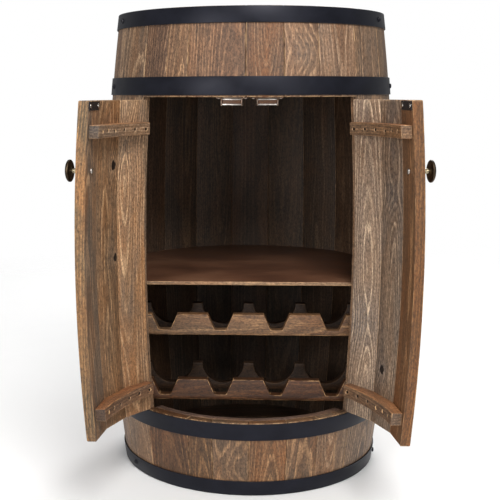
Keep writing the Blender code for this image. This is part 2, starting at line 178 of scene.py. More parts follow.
# ---- node graphs
def srgb(red, green, blue):
    """A colour given in screen values of 0 to 255, as the shader needs it."""
    linear = [c / 255.0 / 12.92 if c <= 10 else ((c / 255.0 + 0.055) / 1.055) ** 2.4
              for c in (red, green, blue)]
    return (*linear, 1.0)


class Graph:
    """Short calls that build one material's nodes."""

    def __init__(self, name):
        self.material = bpy.data.materials.new(name)
        self.material.use_nodes = True
        self.tree = self.material.node_tree
        self.shader = self.tree.nodes["Principled BSDF"]

    def feed(self, socket, value):
        if isinstance(value, bpy.types.NodeSocket):
            self.tree.links.new(value, socket)
        else:
            socket.default_value = value

    def node(self, kind, *inputs, **settings):
        made = self.tree.nodes.new(kind)
        for key, value in settings.items():
            setattr(made, key, value)
        for socket, value in zip(made.inputs, inputs):
            self.feed(socket, value)
        return made

    def attribute(self, name, output="Vector"):
        return self.node("ShaderNodeAttribute", attribute_name=name).outputs[output]

    def place(self):
        """The piece's own coordinates, which turn with a door."""
        return self.node("ShaderNodeTexCoord").outputs["Object"]

    def math(self, operation, *values, clamp=False):
        return self.node("ShaderNodeMath", *values, operation=operation, use_clamp=clamp).outputs[0]

    def times(self, *values):
        """The product of two or more values."""
        product = values[0]
        for value in values[1:]:
            product = self.math("MULTIPLY", product, value)
        return product

    def vector(self, operation, *values):
        made = self.node("ShaderNodeVectorMath", *values, operation=operation)
        return made.outputs["Value" if operation == "LENGTH" else "Vector"]

    def split(self, vector):
        return self.node("ShaderNodeSeparateXYZ", vector).outputs

    def join(self, *values):
        return self.node("ShaderNodeCombineXYZ", *values).outputs[0]

    def noise(self, vector, scale, detail=2.0, roughness=0.5, output=0):
        """Noise that repeats scale times in a metre, which may differ by axis."""
        scale = scale if isinstance(scale, tuple) else (scale, scale, scale)
        stretched = self.vector("MULTIPLY", vector, scale)
        made = self.node("ShaderNodeTexNoise")
        self.feed(made.inputs["Vector"], stretched)
        made.inputs["Scale"].default_value = 1.0
        made.inputs["Detail"].default_value = detail
        made.inputs["Roughness"].default_value = roughness
        return made.outputs[output]

    def spread(self, value, low, high, to_low=0.0, to_high=1.0):
        """Rescales a value from low..high, with its ends held."""
        return self.node("ShaderNodeMapRange", value, low, high, to_low, to_high).outputs[0]

    def ramp(self, value, *stops):
        made = self.node("ShaderNodeValToRGB", value)
        points = made.color_ramp.elements
        while len(points) < len(stops):
            points.new(0.5)
        for point, (position, colour) in zip(points, stops):
            point.position = position
            point.color = colour if isinstance(colour, tuple) else (colour, colour, colour, 1.0)
        return made.outputs[0]

    def mix(self, factor, a, b, blend="MIX"):
        made = self.node("ShaderNodeMix", data_type="RGBA", blend_type=blend)
        self.feed(made.inputs[0], factor)
        self.feed(made.inputs[6], a)
        self.feed(made.inputs[7], b)
        return made.outputs[2]

    def shade(self, colour, factor):
        """Darkens or lightens a colour by one value."""
        return self.mix(1.0, colour, self.join(factor, factor, factor), "MULTIPLY")

    def bump(self, height, distance, strength=1.0):
        made = self.node("ShaderNodeBump")
        made.inputs["Strength"].default_value = strength
        made.inputs["Distance"].default_value = distance
        self.feed(made.inputs["Height"], height)
        self.feed(self.shader.inputs["Normal"], made.outputs[0])

    def finish(self, colour, roughness, **constants):
        self.feed(self.shader.inputs["Base Color"], colour)
        self.feed(self.shader.inputs["Roughness"], roughness)
        for key, value in constants.items():
            self.shader.inputs[key.replace("_", " ")].default_value = value
        return self.material


# ---- wood
RING_WIDTH = 0.0045
LINE_PROFILE = ((0.0, 0.0), (0.55, 0.0), (0.82, 1.0), (0.94, 0.9), (1.0, 0.0))   # one ring's late wood
WANDER = (0.024, 0.036)        # how far the pith strays across and into the board
BEND_AT_KNOT = 2.5             # rings by which a knot pushes the lines aside
FAR_AWAY = 40.0                # in knot radii, for a board without that knot

GROUND = srgb(122, 95, 71)     # early wood, which took the stain
UMBER = srgb(97, 73, 54)
PALE_LINE = srgb(182, 149, 115)
SMOKE = srgb(86, 78, 70)
ORANGE = srgb(140, 97, 60)
BARE = srgb(176, 142, 104)
KNOT_CORE = srgb(26, 17, 12)


def growth_rings(graph, grain, rings, near_knot):
    """Lines of late wood, and the shade of each few years, about a pith line that wanders."""
    wander = graph.split(graph.noise(grain, (7.0, 7.0, 1.9), 2.0, 0.5, output=1))
    across, depth, _ = graph.split(rings)
    across = graph.math("MULTIPLY_ADD", wander[0], WANDER[0], graph.math("SUBTRACT", across, WANDER[0] / 2.0))
    depth = graph.math("MULTIPLY_ADD", wander[1], WANDER[1], graph.math("SUBTRACT", depth, WANDER[1] / 2.0))
    radius = graph.vector("LENGTH", graph.join(across, depth, 0.0))
    wobble = graph.noise(grain, (110.0, 110.0, 9.0), 3.0)
    phase = graph.math("ADD", graph.math("DIVIDE", radius, RING_WIDTH), wobble)
    phase = graph.math("MULTIPLY_ADD", near_knot, BEND_AT_KNOT, phase)
    year = graph.noise(graph.join(phase, 0.0, 0.0), (0.37, 1.0, 1.0), 1.0)
    line = graph.ramp(graph.math("FRACT", phase), *LINE_PROFILE)
    line = graph.times(line, graph.spread(year, 0.36, 0.60, 0.25, 1.0))
    spell = graph.noise(graph.join(phase, 0.0, 0.0), (0.19, 1.0, 1.0), 1.0)
    return line, graph.spread(spell, 0.47, 0.55)


def wood(name, tint, figure=1.0, sheen=0.5, rubbed=1.0):
    """Stained softwood.  The boards' own data says how each one was cut and stained.

    tint multiplies every colour, figure is the strength of the growth rings, sheen the mean
    roughness and rubbed how far the edges are worn bare.
    """
    graph = Graph(name)
    grain = graph.attribute("grain")
    stain = graph.split(graph.attribute("stain"))
    ragged = graph.noise(grain, (260.0, 260.0, 180.0), 2.0)
    near = [graph.math("ADD", graph.vector("LENGTH", graph.attribute(knot)), ragged)
            for knot in ("knot_a", "knot_b")]
    nearest = graph.math("SUBTRACT", graph.math("MINIMUM", *near), 0.5)
    turned_about = graph.math("MINIMUM", nearest, graph.vector("LENGTH", graph.attribute("swirl")))
    around = graph.math("EXPONENT", graph.times(graph.math("POWER", turned_about, 2.0), -0.09))
    line, spell = growth_rings(graph, grain, graph.attribute("rings"), around)
    fibre = graph.noise(grain, (620.0, 620.0, 34.0), 3.0, 0.65)
    streak = graph.noise(grain, (170.0, 170.0, 5.0), 2.0, 0.6)
    patch = graph.noise(grain, (22.0, 22.0, 6.0), 4.0, 0.68)
    glow = graph.noise(graph.vector("ADD", grain, (3.1, 7.7, 1.9)), (24.0, 24.0, 4.0), 3.0, 0.6)
    grit = graph.noise(grain, (400.0, 400.0, 190.0), 2.0, 0.7)
    pores = graph.noise(grain, (540.0, 540.0, 230.0), 1.0)

    def shaded(colour):
        return (*(c * t for c, t in zip(colour, tint)), 1.0)

    colour = graph.mix(graph.times(spell, 0.80 * figure), shaded(GROUND), shaded(UMBER))
    colour = graph.mix(graph.times(graph.spread(glow, 0.42, 0.60), stain[1]), colour, shaded(ORANGE))
    smudge = graph.times(graph.spread(patch, 0.42, 0.60), stain[0])
    halo = graph.times(graph.spread(turned_about, 1.2, 5.0, 1.0, 0.0), ragged)
    colour = graph.mix(graph.math("MAXIMUM", smudge, halo), colour, shaded(SMOKE))
    broken = graph.times(line, graph.spread(fibre, 0.34, 0.58, 0.26, 0.70 * figure))
    colour = graph.mix(broken, colour, shaded(PALE_LINE))
    colour = graph.shade(colour, graph.times(
        graph.spread(fibre, 0.30, 0.70, 0.76, 1.23), graph.spread(streak, 0.32, 0.68, 0.84, 1.14),
        graph.spread(grit, 0.34, 0.66, 0.62, 1.34), graph.spread(pores, 0.56, 0.66, 1.0, 0.66),
        graph.spread(nearest, 1.05, 2.2, 1.3, 1.0)))
    colour = graph.mix(1.0, colour, graph.attribute("tone", "Color"), "MULTIPLY")
    colour = graph.mix(graph.spread(nearest, 0.80, 1.05, 1.0, 0.0), colour, KNOT_CORE)
    rub = graph.noise(grain, (90.0, 90.0, 40.0), 3.0, 0.7)
    worn = graph.times(graph.attribute("wear", "Fac"), graph.spread(rub, 0.46, 0.62, 0.0, rubbed))
    colour = graph.mix(worn, colour, shaded(BARE))

    height = graph.math("ADD", graph.times(line, 0.5), graph.times(fibre, 0.8))
    height = graph.math("SUBTRACT", height, graph.spread(pores, 0.56, 0.68, 0.0, 0.6))
    graph.bump(height, 0.00035, 0.7)
    roughness = graph.spread(patch, 0.3, 0.7, sheen - 0.07, sheen + 0.09)
    roughness = graph.math("ADD", roughness, graph.times(fibre, 0.12))
    return graph.finish(colour, roughness, Specular_IOR_Level=0.42)


STAVE_WOOD = wood("weathered_stave_wood", (1.0, 1.0, 1.0))
# Painted shade: a darker copy of the stave wood for the staves' inner faces, standing in for the shade inside
# the barrel.
INSIDE_WOOD_PAINTED_SHADE = wood("inside_wood_painted_shade", (0.42, 0.41, 0.42), 0.6)
EDGE_WOOD = wood("sawn_edge_wood", (0.90, 0.80, 0.58), 0.7)
BATTEN_WOOD = wood("batten_wood", (1.08, 1.00, 0.94), 0.8, rubbed=0.35)
# Painted light and shade: the left door's batten ends get a darker copy of the wood for the shade on them,
# the right door's a paler copy for the light on them.
BATTEN_ENDS_LIT_AND_SHADED = {-1: wood("batten_ends_painted_shade", (0.46, 0.46, 0.49), 0.5, 0.6),
               1: wood("lit_batten_ends_painted_light", (0.84, 0.84, 0.87), 0.9, 0.6)}
# Painted light: a much lighter copy of the batten wood for the battens' top faces, where the light falls from
# above.
BATTEN_TOP_PAINTED_LIGHT = wood("batten_top_painted_light", (2.05, 1.60, 1.26), 0.3, rubbed=0.3)
RACK_WOOD = wood("rack_wood", (0.88, 0.80, 0.70))
# Painted shade: a darker copy of the rack wood for the back slats, which stand in the shade deep inside.
RACK_WOOD_PAINTED_SHADE = wood("rack_wood_painted_shade", (0.30, 0.26, 0.24), 0.6)
PLY_EDGE = wood("shelf_edge_wood", (1.45, 1.42, 1.35), 0.4)


def shelf_finish():
    """Thin board with a red-brown stain and a worn satin top."""
    graph = Graph("stained_shelf_board")
    grain = graph.attribute("grain")
    cloud = graph.noise(grain, (11.0, 11.0, 7.0), 4.0, 0.6)
    fibre = graph.noise(grain, (420.0, 420.0, 24.0), 3.0, 0.6)
    speck = graph.noise(grain, (950.0, 950.0, 500.0), 1.0)
    colour = graph.ramp(cloud, (0.32, srgb(76, 49, 36)), (0.52, srgb(98, 65, 47)), (0.72, srgb(118, 83, 61)))
    fleck = graph.spread(speck, 0.6, 0.75, 1.0, 0.75)
    colour = graph.shade(colour, graph.times(graph.spread(fibre, 0.3, 0.7, 0.82, 1.14), fleck))
    graph.bump(fibre, 0.0002, 0.5)
    return graph.finish(colour, graph.spread(cloud, 0.3, 0.7, 0.38, 0.55), Specular_IOR_Level=0.45)


def hole_finish():
    """The dark inside of a nail hole."""
    graph = Graph("nail_hole")
    speck = graph.noise(graph.place(), 900.0, 2.0)
    colour = graph.ramp(speck, (0.4, srgb(26, 18, 12)), (0.7, srgb(58, 38, 24)))
    return graph.finish(colour, graph.spread(speck, 0.3, 0.7, 0.8, 0.95))


# ---- metals and plastic
COOL = (0.86, 0.86, 1.0, 1.0)  # tint of the paint's reflections
FADED_PAINT = 1.7              # how much lighter the paint is where it has faded


def painted_steel(name, paint, bare, roughness, gloss):
    """Black paint with an uneven sheen, rubbed through to grey along the edges."""
    graph = Graph(name)
    place = graph.place()
    cloud = graph.noise(place, (22.0, 22.0, 30.0), 3.0, 0.6)
    grit = graph.noise(place, 1300.0, 2.0, 0.6)
    brush = graph.noise(place, (60.0, 60.0, 900.0), 2.0, 0.6)
    lightened = tuple(c * FADED_PAINT for c in paint[:3]) + (1.0,)
    colour = graph.mix(graph.spread(cloud, 0.35, 0.7), paint, lightened)
    rub = graph.noise(place, 130.0, 4.0, 0.7)
    worn = graph.times(graph.attribute("wear", "Fac"), graph.spread(rub, 0.50, 0.62, 0.0, 0.55))
    colour = graph.mix(worn, colour, bare)
    graph.bump(graph.math("ADD", graph.times(grit, 0.5), graph.times(brush, 0.35)), 0.00012, 0.5)
    rough = graph.spread(cloud, 0.3, 0.7, roughness - 0.06, roughness + 0.08)
    rough = graph.math("ADD", rough, graph.times(grit, 0.06))
    return graph.finish(colour, rough, Specular_IOR_Level=gloss, Specular_Tint=COOL)


def bare_metal(name, light, dark, roughness, scale=160.0):
    """Metal with tarnish in patches and fine turning marks."""
    graph = Graph(name)
    place = graph.place()
    tarnish = graph.noise(place, scale, 4.0, 0.65)
    marks = graph.noise(place, (scale * 12.0, scale * 12.0, scale * 3.0), 2.0)
    colour = graph.ramp(tarnish, (0.36, dark), (0.66, light))
    graph.bump(marks, 0.00006, 0.4)
    rough = graph.spread(tarnish, 0.3, 0.7, roughness + 0.10, roughness - 0.05)
    return graph.finish(colour, rough, Metallic=1.0)


HOOP_STEEL = painted_steel("hoop_paint", srgb(16, 17, 23), srgb(66, 63, 62), 0.36, 0.19)
FITTING_STEEL = painted_steel("black_fitting_steel", srgb(30, 29, 31), srgb(110, 104, 98), 0.38, 0.30)
BRONZE = bare_metal("aged_bronze", srgb(96, 82, 64), srgb(40, 33, 28), 0.42, 90.0)
BRASS = bare_metal("worn_brass", srgb(238, 228, 200), srgb(192, 172, 132), 0.34)
ZINC = bare_metal("zinc_plate", srgb(228, 222, 214), srgb(176, 168, 160), 0.34)
COPPERY = bare_metal("lacquered_catch_steel", srgb(190, 168, 150), srgb(128, 98, 82), 0.34)


def magnet_finish():
    """Speckled brown ferrite."""
    graph = Graph("brown_magnet")
    place = graph.place()
    speck = graph.noise(place, 1100.0, 3.0, 0.6)
    colour = graph.ramp(speck, (0.35, srgb(78, 46, 34)), (0.7, srgb(132, 92, 58)))
    graph.bump(speck, 0.0001, 0.5)
    return graph.finish(colour, graph.spread(speck, 0.3, 0.7, 0.45, 0.62))


SHELF_FINISH = shelf_finish()
HOLE = hole_finish()
MAGNET = magnet_finish()


# ---- meshes
def loft(rings, closed=False):
    """Skin rings of equally many points; an open loft is capped at both ends."""
    count = len(rings[0])
    points = [point for ring in rings for point in ring]
    pairs = [(k, k + 1) for k in range(len(rings) - 1)]
    if closed:
        pairs.append((len(rings) - 1, 0))
    faces = []
    for low, high in pairs:
        for k in range(count):
            after = (k + 1) % count
            faces.append((low * count + k, low * count + after, high * count + after, high * count + k))
    if not closed:
        last = (len(rings) - 1) * count
        faces.append(tuple(range(count)))
        faces.append(tuple(range(last, last + count)))
    return bmesh_from(points, faces)


def bmesh_from(points, faces):
    bm = bmesh.new()
    verts = [bm.verts.new(point) for point in points]
    for face in faces:
        bm.faces.new([verts[k] for k in face])
    bmesh.ops.recalc_face_normals(bm, faces=bm.faces)
    return bm


def merged(shapes):
    """One bmesh that holds several closed shapes."""
    whole = bmesh.new()
    for shape in shapes:
        mesh = bpy.data.meshes.new("part")
        shape.to_mesh(mesh)
        shape.free()
        whole.from_mesh(mesh)
        bpy.data.meshes.remove(mesh)
    return whole


def round_edges(bm, width, segments=2, sharper_than=35.0):
    limit = math.radians(sharper_than)
    edges = [e for e in bm.edges if len(e.link_faces) == 2 and e.calc_face_angle(0.0) > limit]
    bmesh.ops.bevel(bm, geom=edges, offset=width, offset_type="OFFSET", segments=segments,
                    profile=0.5, affect="EDGES", clamp_overlap=True)
    return bm


def turned(profile, origin, axis, segments):
    """Solid of revolution from (distance, radius) points that start and end on the axis."""
    across = axis.orthogonal().normalized()
    other = axis.cross(across)
    points, faces = [origin + axis * profile[0][0]], []
    rows = []
    for d, r in profile[1:-1]:
        rows.append(len(points))
        for k in range(segments):
            turn = 2.0 * math.pi * k / segments
            points.append(origin + axis * d + (across * math.cos(turn) + other * math.sin(turn)) * r)
    tip = len(points)
    points.append(origin + axis * profile[-1][0])
    for k in range(segments):
        after = (k + 1) % segments
        faces.append((0, rows[0] + after, rows[0] + k))
        for low, high in zip(rows, rows[1:]):
            faces.append((low + k, low + after, high + after, high + k))
        faces.append((rows[-1] + k, rows[-1] + after, tip))
    return bmesh_from(points, faces)


def block(corner, u, v, w):
    """A box from one corner along three edge vectors."""
    points = [corner + u * i + v * j + w * k for i in (0, 1) for j in (0, 1) for k in (0, 1)]
    faces = [(0, 1, 3, 2), (4, 6, 7, 5), (0, 4, 5, 1), (2, 3, 7, 6), (0, 2, 6, 4), (1, 5, 7, 3)]
    return bmesh_from(points, faces)


def corner_curve(before, corner, after, size, steps=3):
    """Points of a rounded corner, by a curve that touches both sides."""
    start = corner + (before - corner).normalized() * size
    end = corner + (after - corner).normalized() * size
    curve = []
    for s in spaced(0.0, 1.0, steps):
        curve.append(start * (1 - s) ** 2 + corner * (2 * s * (1 - s)) + end * s ** 2)
    return curve


LIGHTENING_MIDDLE = 0.43             # height at which a board that gets lighter upwards has its own tone
KNOT_STRETCH = 1.3             # how much longer knots are along the grain


class Board:
    """How a board was cut from its tree and stained.

    pith and depth place the tree's centre across and behind the face, and slope tilts it.
    knots and swirl are (across, height, size), and the last argument is how much lighter the board gets in
    each metre upwards.
    """

    def __init__(self, seed, pith=0.0, depth=0.05, slope=0.05, grey=0.4, warm=0.3, tone=(1, 1, 1), knots=(),
                 swirl=None, fade=0.0):
        self.seed, self.pith, self.depth, self.slope = seed, pith, depth, slope
        self.grey, self.warm, self.tone, self.fade = grey, warm, tone, fade
        self.marks = {"knot_a": None, "knot_b": None, "swirl": swirl}
        self.marks.update(zip(("knot_a", "knot_b"), knots))


def stamp(mesh, board, locate):
    """Store each point's place in its board, for the wood's nodes.

    locate gives (across, through, along the grain) in metres.
    """
    rows = {key: [] for key in ("grain", "rings", "stain", *board.marks)}
    tones = []
    shift = Vector((board.seed * 1.37, board.seed * 0.71, board.seed * 2.93))
    for vertex in mesh.vertices:
        u, v, w = locate(vertex.co)
        rows["grain"].append(Vector((u, v, w)) + shift)
        rows["rings"].append(Vector((u - board.pith, v + board.depth + board.slope * w, 0.0)))
        rows["stain"].append(Vector((board.grey, board.warm, 0.0)))
        lightened = 1.0 + board.fade * (w - LIGHTENING_MIDDLE)
        tones += [*(c * lightened for c in board.tone), 1.0]
        for key, mark in board.marks.items():
            if mark is None:
                rows[key].append(Vector((FAR_AWAY, 0.0, 0.0)))
            else:
                mark_u, mark_w, size = mark
                rows[key].append(Vector(((u - mark_u) / size, (w - mark_w) / (size * KNOT_STRETCH), 0.0)))
    for key, values in rows.items():
        data = mesh.attributes.new(key, "FLOAT_VECTOR", "POINT").data
        data.foreach_set("vector", [c for value in values for c in value])
    mesh.attributes.new("tone", "FLOAT_COLOR", "POINT").data.foreach_set("color", tones)


WEAR_TURN = math.radians(14.0)
EDGE_FACE_WIDTH = 0.0022


def stamp_wear(mesh):
    """Mark the narrow faces of rounded edges as worn: 1 along the edge, 0 elsewhere."""
    normals = {}
    for face in mesh.polygons:
        for key in face.edge_keys:
            normals.setdefault(key, []).append(face.normal.copy())
    turning = set()
    for key, pair in normals.items():
        if len(pair) == 2 and pair[0].angle(pair[1], 0.0) > WEAR_TURN:
            turning.update(key)
    wear = [0.0] * len(mesh.loops)
    for face in mesh.polygons:
        corners = [mesh.vertices[k].co for k in face.vertices]
        width = min((a - b).length for a, b in zip(corners, corners[1:] + corners[:1]))
        if width < EDGE_FACE_WIDTH and len(corners) <= 4:
            for loop, vertex in zip(face.loop_indices, face.vertices):
                wear[loop] = 1.0 if vertex in turning else 0.0
    mesh.attributes.new("wear", "FLOAT", "CORNER").data.foreach_set("value", wear)


def to_mesh(name, bm, sharp=40.0):
    mesh = bpy.data.meshes.new(name)
    bm.to_mesh(mesh)
    bm.free()
    mesh.shade_smooth()
    mesh.set_sharp_from_angle(angle=math.radians(sharp))
    return mesh


def new_object(name, data):
    made = bpy.data.objects.new(name, data)
    bpy.context.scene.collection.objects.link(made)
    return made


def add_piece(name, mesh, body, slot, finishes, replaced=(), choose=None):
    """Make the object, turn it to its place at rest, tie it to its body and hide the CAD nodes that it
    replaces.

    choose gives the number of the finish for each face.
    """
    for finish in finishes:
        mesh.materials.append(finish)
    if choose is not None:
        for face in mesh.polygons:
            face.material_index = choose(face)
    mesh.transform(SWINGS[body])
    piece = new_object(name, mesh)
    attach(piece, body)
    if replaced:
        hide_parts(*replaced)


def add_wood(name, bm, body, slot, finishes, board, locate, replaced, choose=None, sharp=40.0):
    """A wooden piece, made where it is with the doors closed."""
    mesh = to_mesh(name, bm, sharp)
    stamp(mesh, board, locate)
    stamp_wear(mesh)
    add_piece(name, mesh, body, slot, finishes, replaced, choose)


def add_metal(name, shapes, body, slot, finish, replaced=(), sharp=40.0):
    """One piece of metal or plastic made of one or more closed shapes."""
    mesh = to_mesh(name, merged(shapes), sharp)
    stamp_wear(mesh)
    add_piece(name, mesh, body, slot, [finish], replaced)


# ---- staves
OUTER_ROUND = 0.0016
INNER_ROUND = 0.0006
END_ROUND = ((0.0, 0.0012), (0.0003, 0.0006), (0.0010, 0.0002), (0.0022, 0.0))
END_MARGIN = 0.006
HOLLOW = 0.0004
STAVE_STEP = 0.012
ARC_STEP = math.radians(1.5)


def stave_levels(bottom, top):
    """Heights of the cross-sections, each with how far its edges are rounded back."""
    inner = spaced(bottom + END_MARGIN, top - END_MARGIN, max(2, round((top - bottom) / STAVE_STEP)))
    low = [(bottom + d, inset) for d, inset in END_ROUND]
    high = [(top - d, inset) for d, inset in reversed(END_ROUND)]
    return low + [(z, 0.0) for z in inner] + high


def waviness(seed, u, w):
    """How far the outer face is hollowed at one point."""
    return HOLLOW * (0.5 + 0.5 * noise.noise(Vector((u * 30.0, w * 5.0, seed * 9.1))))


def stave_section(first, last, gaps, z, inset, seed):
    """Closed outline of a stave at one height: flat inner face, arched outer face."""
    outer = outer_radius(z) - inset
    inner = inner_radius(z) + inset
    start, end = tangent(first) * (gaps[0] + inset), tangent(last) * -(gaps[1] + inset)
    steps = max(4, round((last - first) / ARC_STEP))
    arc = []
    for angle in spaced(last, first, steps)[1:-1]:
        arc.append(polar(angle, outer - waviness(seed, angle * outer, z), z))
    corners = [polar(first, inner, z) + start, polar(last, inner, z) + end,
               polar(last, outer, z) + end, polar(first, outer, z) + start]
    ring = corner_curve(corners[3], corners[0], corners[1], INNER_ROUND)
    ring += corner_curve(corners[0], corners[1], corners[2], INNER_ROUND)
    ring += corner_curve(corners[1], corners[2], arc[0], OUTER_ROUND)
    ring += arc
    ring += corner_curve(arc[-1], corners[3], corners[0], OUTER_ROUND)
    return ring


def add_stave(name, first, last, bottom, top, board, body, slot, node, gaps=(GAP / 2, GAP / 2), free_side=0):
    """free_side is -1 or 1 where the face at the first or last joint shows sawn wood."""
    rings = [stave_section(first, last, gaps, z, inset, board.seed)
             for z, inset in stave_levels(bottom, top)]
    board.depth -= board.slope * (bottom + top) / 2.0
    middle = (first + last) / 2.0

    def locate(point):
        turn = (math.atan2(point.x, -point.y) - middle + math.pi) % (2.0 * math.pi) - math.pi
        radius = point.xy.length
        return turn * radius, radius - outer_radius(point.z), point.z

    def choose(face):
        edge = first if free_side < 0 else last
        if free_side and face.normal.dot(tangent(edge) * free_side) > 0.9:
            return 1
        # inner faces of the cabinet's staves take the darker wood that paints the shade inside
        return 2 if body == "cabinet" and face.normal.dot(radial(middle)) < -0.8 else 0

    add_wood(name, loft(rings), body, slot, [STAVE_WOOD, EDGE_WOOD, INSIDE_WOOD_PAINTED_SHADE], board, locate, [node],
             choose, sharp=50.0)


def stave_board(index, **changes):
    """A board for a stave, different for each index."""
    pick = noise.cell_vector(Vector((index * 3.7 + 0.5, 1.5, 2.5)))
    more = noise.cell_vector(Vector((index * 2.3 + 0.5, 7.5, 4.5)))
    bright = 0.88 + 0.22 * abs(pick.x)
    values = {"pith": 0.030 * (pick.y * 2 - 1), "depth": 0.030 + 0.045 * abs(pick.z),
              "slope": 0.10 * (more.x - 0.5), "grey": 0.30 + 0.40 * abs(more.y),
              "warm": 0.15 + 0.45 * abs(more.z),
              "tone": (bright, bright * (0.97 + 0.03 * more.y), bright * (0.94 + 0.06 * more.x))}
    values.update(changes)
    return Board(index * 0.618 + 0.31, **values)


def add_body_staves():
    """The long staves outside the opening."""
    seams = body_stave_seams()
    for number, (first, last) in enumerate(zip(seams, seams[1:]), start=1):
        add_stave(f"stave_{number:02d}_wood", first, last, 0.0, HEIGHT, stave_board(number),
                  "cabinet", "stave_wood", f"stave_{number:02d}")


FIRST_SEEDS = {"top": 40, "bottom": 60, "left": 80, "right": 90}     # short staves and doors
TOP_LOOKS = {
    0: {"tone": (0.67, 0.59, 0.57), "grey": 0.4, "depth": 0.020, "slope": 0.10},
    1: {"tone": (1.03, 0.92, 0.83), "grey": 0.3, "pith": 0.004, "depth": 0.018, "slope": 0.06},
    2: {"tone": (0.90, 0.76, 0.68), "grey": 0.45, "pith": 0.026, "depth": 0.022, "slope": 0.06},
    3: {"tone": (0.65, 0.56, 0.51), "warm": 0.85, "grey": 0.1, "pith": 0.002, "depth": 0.010, "slope": -0.16},
    4: {"tone": (1.09, 1.03, 1.03), "grey": 0.3, "swirl": (0.002, 0.729, 0.0070)},
    5: {"tone": (1.16, 1.18, 1.30), "grey": 0.45},
}
BOTTOM_LOOKS = {
    0: {"tone": (0.51, 0.39, 0.29), "warm": 0.5},
    1: {"tone": (0.59, 0.48, 0.36), "grey": 0.6, "pith": 0.004, "depth": 0.018, "slope": 0.08},
    2: {"tone": (0.90, 0.79, 0.68), "grey": 0.65, "slope": 0.05, "swirl": (0.006, 0.050, 0.0090)},
    3: {"tone": (0.88, 0.74, 0.60), "warm": 0.8, "pith": 0.004, "depth": 0.014, "slope": 0.10},
    4: {"tone": (0.86, 0.76, 0.66), "grey": 0.7},
    5: {"tone": (0.90, 0.90, 0.93), "depth": 0.020, "slope": -0.08},
    6: {"tone": (0.90, 0.90, 0.93)},
}


def add_front_staves():
    """The short staves above and below the doors."""
    rows = (("top", TOP_SEAMS, LINTEL_Z, HEIGHT, TOP_LOOKS),
            ("bottom", BOTTOM_SEAMS, 0.0, SILL_Z, BOTTOM_LOOKS))
    for place, degrees, low, high, looks in rows:
        seams = [math.radians(d) for d in degrees]
        for k, (first, last) in enumerate(zip(seams, seams[1:])):
            board = stave_board(FIRST_SEEDS[place] + k, **looks[k])
            add_stave(f"{place}_front_stave_{k + 1}", first, last, low, high, board, "cabinet",
                      "stave_wood", f"{place}_front_panel")


DOOR_LOOKS = {
    (-1, 0): {"tone": (1.32, 1.24, 1.18), "grey": 0.9, "warm": 0.2, "slope": 0.05},
    (-1, 1): {"tone": (1.16, 1.10, 1.00), "grey": 0.5, "warm": 0.45, "pith": 0.004, "depth": 0.030,
              "slope": 0.06, "knots": [(-0.017, 0.556, 0.0068), (-0.024, 0.409, 0.0054)]},
    (-1, 2): {"tone": (1.62, 1.62, 1.59), "grey": 0.45, "warm": 0.6, "depth": 0.034, "slope": -0.055,
              "swirl": (0.012, 0.590, 0.0100)},
    (1, 0): {"tone": (0.87, 0.71, 0.57), "grey": 0.2, "warm": 0.7},
    # The right door's middle and hinge staves are paler partly for their own greyer wood and partly as
    # painted light, making up for the light that the door's inner face lacks.
    (1, 1): {"tone": (1.16, 1.29, 1.51), "grey": 0.45, "warm": 0.1, "pith": -0.006, "depth": 0.030,
             "slope": 0.07, "knots": [(0.011, 0.232, 0.0064)], "swirl": (0.002, 0.512, 0.0085)},
    (1, 2): {"tone": (1.77, 2.03, 2.42), "grey": 0.25, "warm": 0.1, "pith": -0.004, "depth": 0.034,
             "slope": 0.07, "swirl": (0.006, 0.300, 0.0130)},
}
# Door boards get lighter upwards and darker towards the bottom, by this much in a metre.
DOOR_UPWARD_LIGHTENING = 0.50
HINGE_EDGE_GAP = 0.0006
FREE_EDGE_GAP = 0.0010


def add_door_staves(side, name):
    """A door's three staves, numbered from its free edge."""
    for number in range(DOOR_STAVES):
        free = FREE_EDGE_GAP if number == 0 else GAP / 2
        hinged = HINGE_EDGE_GAP if number == DOOR_STAVES - 1 else GAP / 2
        near = DOOR_ARC * number / DOOR_STAVES
        far = DOOR_ARC * (number + 1) / DOOR_STAVES
        ends, gaps = ((near, far), (free, hinged)) if side > 0 else ((-far, -near), (hinged, free))
        board = stave_board(FIRST_SEEDS[name] + number, fade=DOOR_UPWARD_LIGHTENING, **DOOR_LOOKS[side, number])
        node = f"{name}_door_stave_{number + 1}"
        add_stave(f"{node}_wood", *ends, DOOR_BOTTOM_Z, DOOR_TOP_Z, board, f"{name}_door", "door_wood",
                  node, gaps, -side if number == 0 else 0)


# ---- hoops
RIPPLE = 0.00012
HOOP_OUTER_ROUND = 0.0007
HOOP_INNER_ROUND = 0.0003
HOOP_SEGMENTS = 180
RIVET_PROFILE = ((0.0, 0.0), (0.0, 0.0040), (0.0006, 0.0040), (0.0014, 0.0032), (0.0019, 0.0018),
                 (0.0020, 0.0))
RIVET_SEGMENTS = 20
LAP_MIDDLE = math.radians(168.0)
LAP_HALF = math.radians(6.0)
LAP_SEGMENTS = 10
LAP_BASE = HOOP_GAP + HOOP_THICKNESS + 0.0002


def hoop_rings(start, end, segments, low, high, base, closed=True):
    """Cross-sections of a band; base is its distance off the staves."""
    rings = []
    angles = spaced(start, end, segments)
    for angle in angles[:-1] if closed else angles:
        ripple = RIPPLE * noise.noise(Vector((math.sin(angle) * 4.0, math.cos(angle) * 4.0, low * 9.0)))
        near_low, near_high = outer_radius(low) + base, outer_radius(high) + base
        far = HOOP_THICKNESS + ripple
        corners = [polar(angle, near_low, low), polar(angle, near_low + far, low),
                   polar(angle, near_high + far, high), polar(angle, near_high, high)]
        ring = []
        for k in range(4):
            size = HOOP_OUTER_ROUND if k in (1, 2) else HOOP_INNER_ROUND
            ring += corner_curve(corners[k - 1], corners[k], corners[(k + 1) % 4], size)
        rings.append(ring)
    return rings


